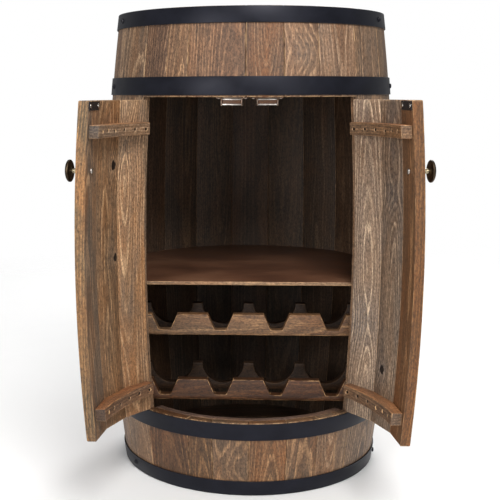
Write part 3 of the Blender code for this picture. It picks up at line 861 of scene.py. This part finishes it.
def add_hoop(place):
    """A band round the barrel whose ends overlap at the back, with two rivets through the lap."""
    low, high = HOOPS[place]
    node = f"hoop_{place}"
    band = loft(hoop_rings(0.0, 2.0 * math.pi, HOOP_SEGMENTS, low, high, HOOP_GAP), closed=True)
    lap = loft(hoop_rings(LAP_MIDDLE - LAP_HALF, LAP_MIDDLE + LAP_HALF, LAP_SEGMENTS, low, high,
                          LAP_BASE, closed=False))
    middle = (low + high) / 2.0
    face = outer_radius(middle) + LAP_BASE + HOOP_THICKNESS
    rivets = [turned(RIVET_PROFILE, polar(angle, face, middle), radial(angle), RIVET_SEGMENTS)
              for angle in (LAP_MIDDLE - LAP_HALF / 2.0, LAP_MIDDLE + LAP_HALF / 2.0)]
    add_metal(f"{node}_band", [band], "cabinet", "black_steel", HOOP_STEEL, [node])
    add_metal(f"{node}_lap", [lap], "cabinet", "black_steel", HOOP_STEEL)
    add_metal(f"{node}_rivets", rivets, "cabinet", "black_steel", HOOP_STEEL)


# ---- screws
HEAD_EDGE = 0.45               # height of the head's straight edge, to the head's height
HEAD_TAPER = 0.97              # radius at the top of that edge, to the head's radius
CROSS_REACH = 0.62             # the cross's size, to the head's radius
CROSS_HALF_WIDTH = 0.13
HEAD_SEGMENTS = 24


def screw_head(origin, axis, radius, height):
    """A domed head with a cross cut into it."""
    dome = [(0.0, 0.0), (0.0, radius), (height * HEAD_EDGE, radius * HEAD_TAPER)]
    dome += [(height * (HEAD_EDGE + (1.0 - HEAD_EDGE) * math.sin(t)), radius * HEAD_TAPER * math.cos(t))
             for t in spaced(0.0, 1.4, 4)[1:]]
    dome.append((height, 0.0))
    head = turned(dome, origin, axis, HEAD_SEGMENTS)
    across = axis.orthogonal().normalized()
    other = axis.cross(across)
    for long, short in ((across, other), (other, across)):
        reach, side = long * radius * CROSS_REACH, short * radius * CROSS_HALF_WIDTH
        corner = origin + axis * height * 0.5 - reach - side
        head = carved(head, block(corner, reach * 2.0, side * 2.0, axis * height))
    return head


def carved(bm, cutter):
    """Cut one closed shape out of another."""
    base = new_object("base", to_mesh("base", bm))
    tool = new_object("tool", to_mesh("tool", cutter))
    cut = base.modifiers.new("cut", "BOOLEAN")
    cut.operation, cut.object, cut.solver = "DIFFERENCE", tool, "EXACT"
    bpy.context.view_layer.update()
    result = bmesh.new()
    result.from_mesh(base.evaluated_get(bpy.context.evaluated_depsgraph_get()).to_mesh())
    for item in (base, tool):
        mesh = item.data
        bpy.data.objects.remove(item)
        bpy.data.meshes.remove(mesh)
    return result


HOOP_SCREWS = {"top": (-67.0, 66.0), "upper": (-72.0, 78.0), "lower": (-66.0, 66.0), "bottom": (-59.0, 80.0)}
BACK_SCREWS = (218.0, 128.0)   # degrees, on every hoop
HOOP_SCREW = (0.0043, 0.0030)  # radius and height of the head; the other screws' sizes say the same


def add_hoop_screws():
    for place, degrees in HOOP_SCREWS.items():
        middle = sum(HOOPS[place]) / 2.0
        face = outer_radius(middle) + HOOP_GAP + HOOP_THICKNESS
        heads = [screw_head(polar(angle, face, middle), radial(angle), *HOOP_SCREW)
                 for angle in map(math.radians, (*degrees, *BACK_SCREWS))]
        add_metal(f"hoop_{place}_screws", heads, "cabinet", "black_steel", HOOP_STEEL)


# ---- boards, shelf and rack
# Painted shade: the bottom board's dark tone stands in for the shade at the foot of the inside, under the
# rack.
HEAD_BOARDS = {"top_board": (120, (0.90, 0.88, 0.86)),         # first seed, and tone
               "bottom_board": (130, (0.32, 0.28, 0.26))}
PLANKS = 5
PLANK_JOINT = 0.0002           # half the gap between two planks
PLANK_ROUND = 0.0009
SHELF_ROUND = 0.0008


def clipped(outline, axis, limit, keep_above):
    """The part of a convex outline on one side of a line across an axis."""
    sign = 1.0 if keep_above else -1.0
    kept = []
    for a, b in zip(outline, outline[1:] + outline[:1]):
        da, db = sign * (a[axis] - limit), sign * (b[axis] - limit)
        if da >= 0.0:
            kept.append(a)
        if (da >= 0.0) != (db >= 0.0):
            kept.append(a.lerp(b, da / (da - db)))
    return kept


def add_board(node):
    """A head board of edge-glued planks."""
    first_seed, tone = HEAD_BOARDS[node]
    low, high = levels_of(node)
    outline = [polar(angle, inner_radius(high) - BOARD_GAP, 0.0) for angle in seam_angles()]
    radius = max(point.length for point in outline)
    edges = spaced(-radius, radius, PLANKS)
    for k in range(PLANKS):
        part = clipped(outline, 1, edges[k] + PLANK_JOINT, True)
        part = clipped(part, 1, edges[k + 1] - PLANK_JOINT, False)
        rings = [[Vector((p.x, p.y, z)) for p in part] for z in (low, high)]
        middle = (edges[k] + edges[k + 1]) / 2.0
        board = stave_board(first_seed + k, tone=tone)
        add_wood(f"{node}_plank_{k + 1}", round_edges(loft(rings), PLANK_ROUND), "cabinet", "board_wood",
                 [STAVE_WOOD], board, lambda p, m=middle: (p.y - m, p.z - high, p.x), [node])


def add_shelf():
    """The shelf, with a plain front edge."""
    low, high = levels_of("shelf")
    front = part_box("shelf")[0].y
    half = inner_half_width(front, low, BOARD_GAP)
    outline = [Vector((-half, front, 0.0)), Vector((half, front, 0.0))]
    outline += [polar(angle, inner_radius(low) - BOARD_GAP, 0.0) for angle in body_stave_seams()[1:-1]]
    rings = [[Vector((p.x, p.y, z)) for p in outline] for z in (low, high)]

    add_wood("shelf_board", round_edges(loft(rings), SHELF_ROUND), "cabinet", "shelf_wood",
             [SHELF_FINISH, PLY_EDGE], Board(5.2, depth=0.03), lambda p: (p.y, p.z - high, p.x),
             ["shelf"], lambda face: 1 if face.normal.y < -0.75 else 0)


NECK_NOTCH_TOP = 0.022
NECK_NOTCH_BOTTOM = 0.010
NECK_NOTCH_DEPTH = 0.027
NECK_NOTCH_ROUND = 0.0015
BODY_CUTOUT_RADIUS = 0.039
CUTOUT_SEGMENTS = 28
SLAT_ROUND = 0.0011


def neck_notch(x, top):
    """A tapered notch for a bottle's neck, with slightly rounded inner corners."""
    floor = top - NECK_NOTCH_DEPTH
    corners = [Vector((x - NECK_NOTCH_TOP, top)), Vector((x - NECK_NOTCH_BOTTOM, floor)),
               Vector((x + NECK_NOTCH_BOTTOM, floor)), Vector((x + NECK_NOTCH_TOP, top))]
    ring = [corners[0]]
    ring += corner_curve(*corners[:3], NECK_NOTCH_ROUND, 2)
    ring += corner_curve(*corners[1:], NECK_NOTCH_ROUND, 2)
    return ring + [corners[3]]


def body_cutout(x, top):
    """Half a circle for a bottle's body."""
    return [Vector((x + BODY_CUTOUT_RADIUS * math.cos(a), top + BODY_CUTOUT_RADIUS * math.sin(a)))
            for a in spaced(math.pi, 2.0 * math.pi, CUTOUT_SEGMENTS)]


def add_slat(node, cutout, finish, board):
    """A rail across the barrel with one cut-out for each bottle along its top edge."""
    low_corner, high_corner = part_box(node)
    bottom, top = low_corner.z, high_corner.z
    rings = []
    for y in (low_corner.y, high_corner.y):
        high = inner_half_width(y, top, BOARD_GAP)
        low = inner_half_width(y, bottom, BOARD_GAP)
        outline = [Vector((-high, top))]
        for x in BOTTLE_CENTRES:
            outline += cutout(x, top)
        outline += [Vector((high, top)), Vector((low, bottom)), Vector((-low, bottom))]
        rings.append([Vector((p.x, y, p.y)) for p in outline])
    middle = (bottom + top) / 2.0
    add_wood(f"{node}_wood", round_edges(loft(rings), SLAT_ROUND, 2, 30.0), "cabinet", "rack_wood", [finish],
             board, lambda p: (p.z - middle, low_corner.y - p.y, p.x), [node])


def add_rack():
    """Front slats that hold the necks and back slats that hold the bodies, in two tiers."""
    add_slat("upper_front_slat", neck_notch, RACK_WOOD,
             Board(11.3, pith=0.004, depth=0.06, slope=0.03, grey=0.45, tone=(0.84, 0.78, 0.70)))
    # Painted shadow: the lower front slat's dark tone stands in for the shadow that falls on it in the lower
    # tier.
    add_slat("lower_front_slat", neck_notch, RACK_WOOD,
             Board(12.9, pith=-0.01, slope=-0.04, grey=0.5, tone=(0.36, 0.25, 0.17)))
    # The back slats take the darker rack wood as painted shade.
    add_slat("upper_back_slat", body_cutout, RACK_WOOD_PAINTED_SHADE, Board(13.4, pith=0.01, depth=0.06, slope=0.03))
    add_slat("lower_back_slat", body_cutout, RACK_WOOD_PAINTED_SHADE, Board(14.8, slope=-0.03))


# ---- curved bars
STRIP_DEPTH = 0.0150
STRIP_REACH = math.radians(44.3)
STRIP_ROUND = 0.0012
STRIP_TONES = {"bottom": (0.56, 0.60, 0.80), "top": (0.78, 0.78, 0.84)}
BATTEN_DEPTH = 0.0172
BATTEN_BELLY = 0.0060          # how much deeper the battens are at the middle
BATTEN_ROUND = 0.0014
BATTEN_FREE_END = math.radians(1.5)
BATTEN_HINGE_END = math.radians(43.4)
HOLE_RADIUS = 0.0023
HOLE_MOUTH = 0.0036
MOUTH_DEPTH = 0.0012
HOLE_DEPTH = 0.008
CUTTER_REACH = 0.004           # how far the cutter of a hole stands out of the face
HOLE_SEGMENTS = 14
HOLE_JITTER = 0.0008           # up and down, along the row
HOLE_ANGLES = tuple(math.radians(a) for a in (5.9, 11.4, 17.6, 25.6, 33.6, 41.0))


def bar_ring(start, end, depth, belly, z):
    """Outline of a bar whose back fits the flat facets and whose front is a curve."""
    corners = [a for a in seam_angles() if start < a < end]
    back = [polar(a, facet_radius(a, z, GAP), z) for a in [start] + corners + [end]]
    inner = inner_radius(z) - GAP - depth
    steps = max(8, round((end - start) / ARC_STEP))
    front = [polar(end + (start - end) * t, inner - belly * math.sin(math.pi * t), z)
             for t in spaced(0.0, 1.0, steps)]
    return back + front


def bar_place(radius):
    """Grain that follows a bar round its curve."""
    def locate(point):
        angle = math.atan2(point.x, -point.y)
        return point.z, radius - point.xy.length, angle * radius
    return locate


def add_strips():
    """The strips that the short front staves are fixed to."""
    for place, seed in (("bottom", 21.3), ("top", 22.8)):
        node = f"{place}_front_strip"
        low, high = levels_of(node)
        bar = loft([bar_ring(-STRIP_REACH, STRIP_REACH, STRIP_DEPTH, 0.0, z) for z in (low, high)])
        add_wood(f"{node}_wood", round_edges(bar, STRIP_ROUND), "cabinet", "batten_wood", [BATTEN_WOOD],
                 Board(seed, slope=0.02, tone=STRIP_TONES[place]), bar_place(outer_radius(low)), [node])


def batten_face(angle, z):
    """Radius of a batten's front at one angle from the door's free edge."""
    along = (angle - BATTEN_FREE_END) / (BATTEN_HINGE_END - BATTEN_FREE_END)
    belly = BATTEN_BELLY * math.sin(math.pi * min(max(along, 0.0), 1.0))
    return inner_radius(z) - GAP - BATTEN_DEPTH - belly


BATTEN_BOARDS = {
    (-1, "top"): Board(29.1, slope=0.02, grey=0.5, tone=(1.12, 1.28, 1.50)),
    (-1, "bottom"): Board(32.7, depth=0.04, slope=-0.02, tone=(0.74, 0.71, 0.73)),
    (1, "top"): Board(31.1, slope=0.02, grey=0.5, tone=(0.98, 0.90, 0.80)),
    (1, "bottom"): Board(34.7, depth=0.04, slope=-0.02, tone=(0.66, 0.68, 0.72)),
}


def add_batten(side, name, place):
    """A curved batten with a row of flared nail holes."""
    node = f"{name}_door_{place}_batten"
    low, high = levels_of(node)
    start, end = sorted((side * BATTEN_FREE_END, side * BATTEN_HINGE_END))
    bar = loft([bar_ring(start, end, BATTEN_DEPTH, BATTEN_BELLY, z) for z in (low, high)])
    bar = round_edges(bar, BATTEN_ROUND)
    middle = (low + high) / 2.0
    bottom_of_cutter = CUTTER_REACH + HOLE_DEPTH
    cutter = [(0.0, 0.0), (0.0, HOLE_MOUTH), (CUTTER_REACH, HOLE_MOUTH),
              (CUTTER_REACH + MOUTH_DEPTH, HOLE_RADIUS), (bottom_of_cutter, HOLE_RADIUS * 0.8),
              (bottom_of_cutter, 0.0)]
    holes = []
    for k, angle in enumerate(HOLE_ANGLES):
        axis, radius = radial(side * angle), batten_face(angle, middle)
        holes.append((axis, radius))
        centre = polar(side * angle, radius - CUTTER_REACH, middle + HOLE_JITTER * math.sin(k * 2.3))
        bar = carved(bar, turned(cutter, centre, axis, HOLE_SEGMENTS))

    def choose(face):
        """Hole, mouth of a hole, top, end or plain face; the top and end faces carry painted light and shade.
        """
        centre = face.center
        flat = Vector((centre.x, centre.y, 0.0))
        for axis, radius in holes:
            off = flat - axis * flat.dot(axis)
            if off.length < HOLE_MOUTH and abs(centre.z - middle) < HOLE_MOUTH + 0.001:
                if radius + 0.0002 < flat.length < radius + MOUTH_DEPTH:
                    return 3
                if radius + MOUTH_DEPTH < flat.length < radius + 0.010:
                    return 1
        if face.normal.z > 0.7:
            return 4
        around = tangent(math.atan2(flat.x, -flat.y))
        return 2 if abs(face.normal.dot(around)) > 0.85 else 0

    add_wood(f"{node}_wood", bar, f"{name}_door", "batten_wood",
             [BATTEN_WOOD, HOLE, BATTEN_ENDS_LIT_AND_SHADED[side], PLY_EDGE, BATTEN_TOP_PAINTED_LIGHT], BATTEN_BOARDS[side, place],
             bar_place(batten_face(BATTEN_FREE_END, middle)), [node], choose)


# ---- door fittings
KNOB_RADIUS = 0.0168
KNOB_RIM = 0.0160
KNOB_BACK_BULGE = 0.0042
KNOB_FRONT_BULGE = 0.0052
KNOB_HALF_RIM = 0.0005
STEM_RADIUS = 0.0038
CAP_SEGMENTS = 56
STEM_SEGMENTS = 32
KNOB_SCREW = (0.0045, 0.0022)


def add_knob(side, name):
    """A bronze lens on a brass stem."""
    body, angle = f"{name}_door", side * KNOB_ANGLE
    axis, face = radial(angle), polar(angle, outer_radius(KNOB_Z), KNOB_Z)

    def bulge(start, depth, turns):
        return [(start + depth * math.cos(t), KNOB_RADIUS * math.sin(t)) for t in turns]

    back = bulge(KNOB_RIM - KNOB_HALF_RIM, -KNOB_BACK_BULGE, spaced(0.12, 1.50, 12))
    front = bulge(KNOB_RIM + KNOB_HALF_RIM, KNOB_FRONT_BULGE, spaced(1.50, 0.10, 14))
    cap = [(back[0][0], 0.0)] + back + [(KNOB_RIM, KNOB_RADIUS)] + front + [(front[-1][0] + 0.00005, 0.0)]
    add_metal(f"{name}_knob_cap", [turned(cap, face, axis, CAP_SEGMENTS)], body, "bronze", BRONZE,
              [f"{name}_knob"], sharp=50.0)
    top = KNOB_RIM - KNOB_BACK_BULGE + 0.0004
    stem = [(-0.0002, 0.0), (-0.0002, 0.0046), (0.0005, 0.0050), (0.0011, 0.0042), (0.0016, STEM_RADIUS),
            (top - 0.0008, STEM_RADIUS), (top, STEM_RADIUS + 0.0007), (top + 0.0004, 0.0)]
    add_metal(f"{name}_knob_stem", [turned(stem, face, axis, STEM_SEGMENTS)], body, "brass_stem", BRASS)
    seat = polar(angle, facet_radius(angle, KNOB_Z, 0.0004), KNOB_Z)
    add_metal(f"{name}_knob_screw_head", [screw_head(seat, -axis, *KNOB_SCREW)], body, "zinc_steel", ZINC,
              [f"{name}_knob_screw"])


STRIKE_THICKNESS = 0.0012
STRIKE_SCREW_REACH = 0.0195    # of each screw from the plate's middle
STRIKE_SCREW = (0.0030, 0.0010)


def stave_face_point(side, v, depth, z, level):
    """A point off the inner face of a door's free stave, as seen by the closed door."""
    middle = free_stave_middle(side)
    reach = facet_radius(middle, level, GAP)
    shift = math.tan(side * STRIKE_ANGLE - middle) * reach
    return polar(middle, reach - depth, z) + tangent(middle) * (shift + v)


def add_strike_screws(side, name):
    middle = free_stave_middle(side)
    low, high = levels_of(f"{name}_strike_plate")
    z = (low + high) / 2.0
    places = [stave_face_point(side, v, STRIKE_THICKNESS + 0.0001, z, z)
              for v in (-STRIKE_SCREW_REACH, STRIKE_SCREW_REACH)]
    heads = [screw_head(place, -radial(middle), *STRIKE_SCREW) for place in places]
    add_metal(f"{name}_strike_screws", heads, f"{name}_door", "zinc_steel", ZINC)


CATCH_WIDTH = 0.034
CATCH_EAR_WIDTH = 0.050
CATCH_EAR_THICKNESS = 0.0022
CATCH_DEPTH = 0.014
CATCH_CLEARANCE = 0.0008
CATCH_PLATE = 0.0014
CATCH_ROUND = 0.00035
CATCH_SCREW = (0.0024, 0.0012)
POLE_THICKNESS = 0.0021


def add_catch(side, name):
    """Magnetic catch: a bent steel case, two pole plates with a magnet between, two ears."""
    node = f"{name}_catch"
    low, high = levels_of(node)
    middle = free_stave_middle(side)
    front = STRIKE_THICKNESS + CATCH_CLEARANCE
    across, inwards, up = tangent(middle), -radial(middle), Vector((0.0, 0.0, 1.0))

    def part(v, width, depth, length, z, height):
        corner = stave_face_point(side, v, front + depth, z, high)
        return round_edges(block(corner, across * width, inwards * length, up * height), CATCH_ROUND)

    half, plate, pole = CATCH_WIDTH / 2.0, CATCH_PLATE, POLE_THICKNESS
    case = [part(v, plate, 0.0, CATCH_DEPTH, low, high - low) for v in (-half, half - plate)]
    case.append(part(-half + plate, CATCH_WIDTH - 2 * plate, 0.0012, CATCH_DEPTH - 0.0012,
                     high - plate, plate))
    ear_reach = (CATCH_EAR_WIDTH - CATCH_WIDTH) / 2.0
    ear_z = high - CATCH_EAR_THICKNESS + 0.0004
    case += [part(v, ear_reach, 0.0010, CATCH_DEPTH - 0.0020, ear_z, CATCH_EAR_THICKNESS - 0.0004)
             for v in (-half - ear_reach, half)]
    add_metal(f"{node}_case", case, "cabinet", "catch_plastic", COPPERY, [node])
    room = CATCH_WIDTH - 2 * plate - 0.002
    bars = [part(-room / 2, room, 0.0003, 0.010, z, pole) for z in (low + 0.0008, high - 0.0022 - pole)]
    add_metal(f"{node}_poles", bars, "cabinet", "zinc_steel", ZINC)
    magnet = part(-room / 2, room, 0.0018, 0.009, low + 0.0008 + pole, high - low - 0.0030 - 2 * pole)
    add_metal(f"{node}_magnet", [magnet], "cabinet", "catch_plastic", MAGNET)
    heads = [screw_head(stave_face_point(side, v, front + CATCH_DEPTH / 2, ear_z, high), -up, *CATCH_SCREW)
             for v in (-half - ear_reach * 0.55, half + ear_reach * 0.55)]
    add_metal(f"{node}_screws", heads, "cabinet", "zinc_steel", ZINC)


LEAF_MIDDLE = 0.0150           # of a leaf, from the hinge's axis
LEAF_THICKNESS = 0.0016
LEAF_SCREW_REACH = 0.016       # of each screw above and below the leaf's middle
LEAF_SCREW = (0.0034, 0.0012)


def add_hinge_screws(side, name, place, leaf):
    """Two screws in a hinge's leaf: leaf is -1 for the body's and 1 for the door's."""
    label = "body" if leaf < 0 else "door"
    node = f"{name}_{place}_hinge_{label}_leaf"
    low, high = levels_of(node)
    middle = (low + high) / 2.0
    angle = side * DOOR_ARC
    away = tangent(angle) * (-side * leaf)
    heads = []
    for z in (middle - LEAF_SCREW_REACH, middle + LEAF_SCREW_REACH):
        point = polar(angle, HINGE_AXIS_RADIUS, 0.0) + away * LEAF_MIDDLE
        outward = Vector((point.x, point.y, 0.0)).normalized()
        face = outward * (outer_radius(z) + BOARD_GAP + LEAF_THICKNESS) + Vector((0.0, 0.0, z))
        heads.append(screw_head(face, outward, *LEAF_SCREW))
    body = "cabinet" if leaf < 0 else f"{name}_door"
    add_metal(f"{node}_screws", heads, body, "black_steel", FITTING_STEEL)


def finish_carried_nodes():
    """The hinge leaves, pins and strike plates keep their CAD shape."""
    for name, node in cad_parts.items():
        if "hinge" in name or "strike" in name:
            node.data.materials.clear()
            node.data.materials.append(FITTING_STEEL)


# ---- stage
CAMERA_DISTANCE = 1.7787
CAMERA_SIDE = 0.0060
CAMERA_HEIGHT = 0.6675
CAMERA_TILT = 0.1788           # radians below level
CAMERA_YAW = -0.0485           # towards -X
CAMERA_ROLL = 0.0022
FOCAL_RATIO = 1.9487           # focal length over the picture's width
SENSOR_WIDTH = 36.0
FRAME_SHIFT = (0.0885, 0.0373)
AMBIENT = 0.35


def add_camera():
    """The camera at the photograph's place, on its own right, up and back axes."""
    ahead = Vector((math.sin(CAMERA_YAW) * math.cos(CAMERA_TILT),
                    math.cos(CAMERA_YAW) * math.cos(CAMERA_TILT), -math.sin(CAMERA_TILT)))
    level = Vector((math.cos(CAMERA_YAW), -math.sin(CAMERA_YAW), 0.0))
    upright = level.cross(ahead)
    right = level * math.cos(CAMERA_ROLL) - upright * math.sin(CAMERA_ROLL)
    up = level * math.sin(CAMERA_ROLL) + upright * math.cos(CAMERA_ROLL)
    data = bpy.data.cameras.new("camera")
    data.lens = FOCAL_RATIO * SENSOR_WIDTH
    data.sensor_width = SENSOR_WIDTH
    data.shift_x, data.shift_y = FRAME_SHIFT
    camera = new_object("camera", data)
    place = Matrix((right, up, -ahead)).transposed().to_4x4()
    place.translation = Vector((CAMERA_SIDE, -CAMERA_DISTANCE, CAMERA_HEIGHT))
    camera.matrix_world = place
    bpy.context.scene.camera = camera


WHITE = (1.0, 1.0, 1.0)
LIGHTS = {   # place, target, width, power and colour of each
    "key": ((0.50, -2.25, 2.35), (0.0, -0.10, 0.40), 1.2, 62.0, (1.0, 0.99, 0.97)),
    "left": ((-1.3, -2.2, 1.0), (0.0, -0.10, 0.40), 1.2, 23.0, WHITE),
    "right": ((1.3, -2.3, 1.0), (0.0, -0.10, 0.40), 1.2, 9.0, WHITE),
    "back": ((0.4, 2.4, 2.2), (0.0, 0.0, 0.45), 1.6, 60.0, WHITE),
}


def add_lights():
    """Round soft lights aimed at the barrel."""
    for name, (place, target, width, power, colour) in LIGHTS.items():
        data = bpy.data.lights.new(name, "AREA")
        data.shape = "DISK"
        data.size = width
        data.energy = power
        data.color = colour
        light = new_object(name, data)
        light.location = place
        light.rotation_euler = (Vector(target) - Vector(place)).to_track_quat("-Z", "Y").to_euler()


FLOOR_RADIUS = 2.6
FLOOR_SEGMENTS = 96
FLOOR_Z = -0.0005
FLOOR_FADE = (0.9, 2.4)        # distances over which the floor blends into the backdrop


def add_floor():
    """A round pale floor that blends into the white all round."""
    graph = Graph("pale_floor")
    place = graph.place()
    cloud = graph.noise(place, 0.8, 2.0)
    colour = graph.ramp(cloud, (0.3, srgb(246, 246, 246)), (0.7, srgb(250, 250, 250)))
    finish = graph.finish(colour, 0.9)
    clear = graph.node("ShaderNodeBsdfTransparent")
    fade = graph.spread(graph.vector("LENGTH", place), *FLOOR_FADE)
    blend = graph.node("ShaderNodeMixShader", fade, graph.shader.outputs[0], clear.outputs[0])
    graph.tree.links.new(blend.outputs[0], graph.tree.nodes["Material Output"].inputs["Surface"])
    rim = [Vector((FLOOR_RADIUS * math.cos(a), FLOOR_RADIUS * math.sin(a), 0.0))
           for a in spaced(0.0, 2.0 * math.pi, FLOOR_SEGMENTS)[:-1]]
    mesh = to_mesh("floor", bmesh_from(rim, [tuple(range(len(rim)))]))
    mesh.materials.append(finish)
    floor = new_object("floor", mesh)
    floor.location.z = FLOOR_Z
    floor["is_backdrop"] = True


def studio_world():
    """White all round as the backdrop, with a dimmer light on the object."""
    world = bpy.data.worlds.new("studio")
    world.use_nodes = True
    tree = world.node_tree
    backdrop, ambient = tree.nodes["Background"], tree.nodes.new("ShaderNodeBackground")
    for background, strength in ((backdrop, 1.0), (ambient, AMBIENT)):
        background.inputs["Color"].default_value = (*WHITE, 1.0)
        background.inputs["Strength"].default_value = strength
    seen = tree.nodes.new("ShaderNodeLightPath")
    choice = tree.nodes.new("ShaderNodeMixShader")
    tree.links.new(seen.outputs["Is Camera Ray"], choice.inputs[0])
    tree.links.new(ambient.outputs[0], choice.inputs[1])
    tree.links.new(backdrop.outputs[0], choice.inputs[2])
    tree.links.new(choice.outputs[0], tree.nodes["World Output"].inputs["Surface"])
    return world


# ---- assembly
add_camera()
add_floor()
add_lights()
bpy.context.scene.world = studio_world()
bpy.context.scene.view_settings.view_transform = "Standard"
add_body_staves()
add_front_staves()
for hoop_place in HOOPS:
    add_hoop(hoop_place)
add_hoop_screws()
for head_board in HEAD_BOARDS:
    add_board(head_board)
add_shelf()
add_rack()
add_strips()
for door_side, door_name in ((-1, "left"), (1, "right")):
    add_door_staves(door_side, door_name)
    for batten_place in ("top", "bottom"):
        add_batten(door_side, door_name, batten_place)
    add_knob(door_side, door_name)
    add_strike_screws(door_side, door_name)
    add_catch(door_side, door_name)
    for hinge_place in ("lower", "upper"):
        for hinge_leaf in (-1, 1):
            add_hinge_screws(door_side, door_name, hinge_place, hinge_leaf)
finish_carried_nodes()

boxes = {"cad": cad_bounds, "visual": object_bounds()}
{key: [[float(c) for c in corner] for corner in box] for key, box in boxes.items()}
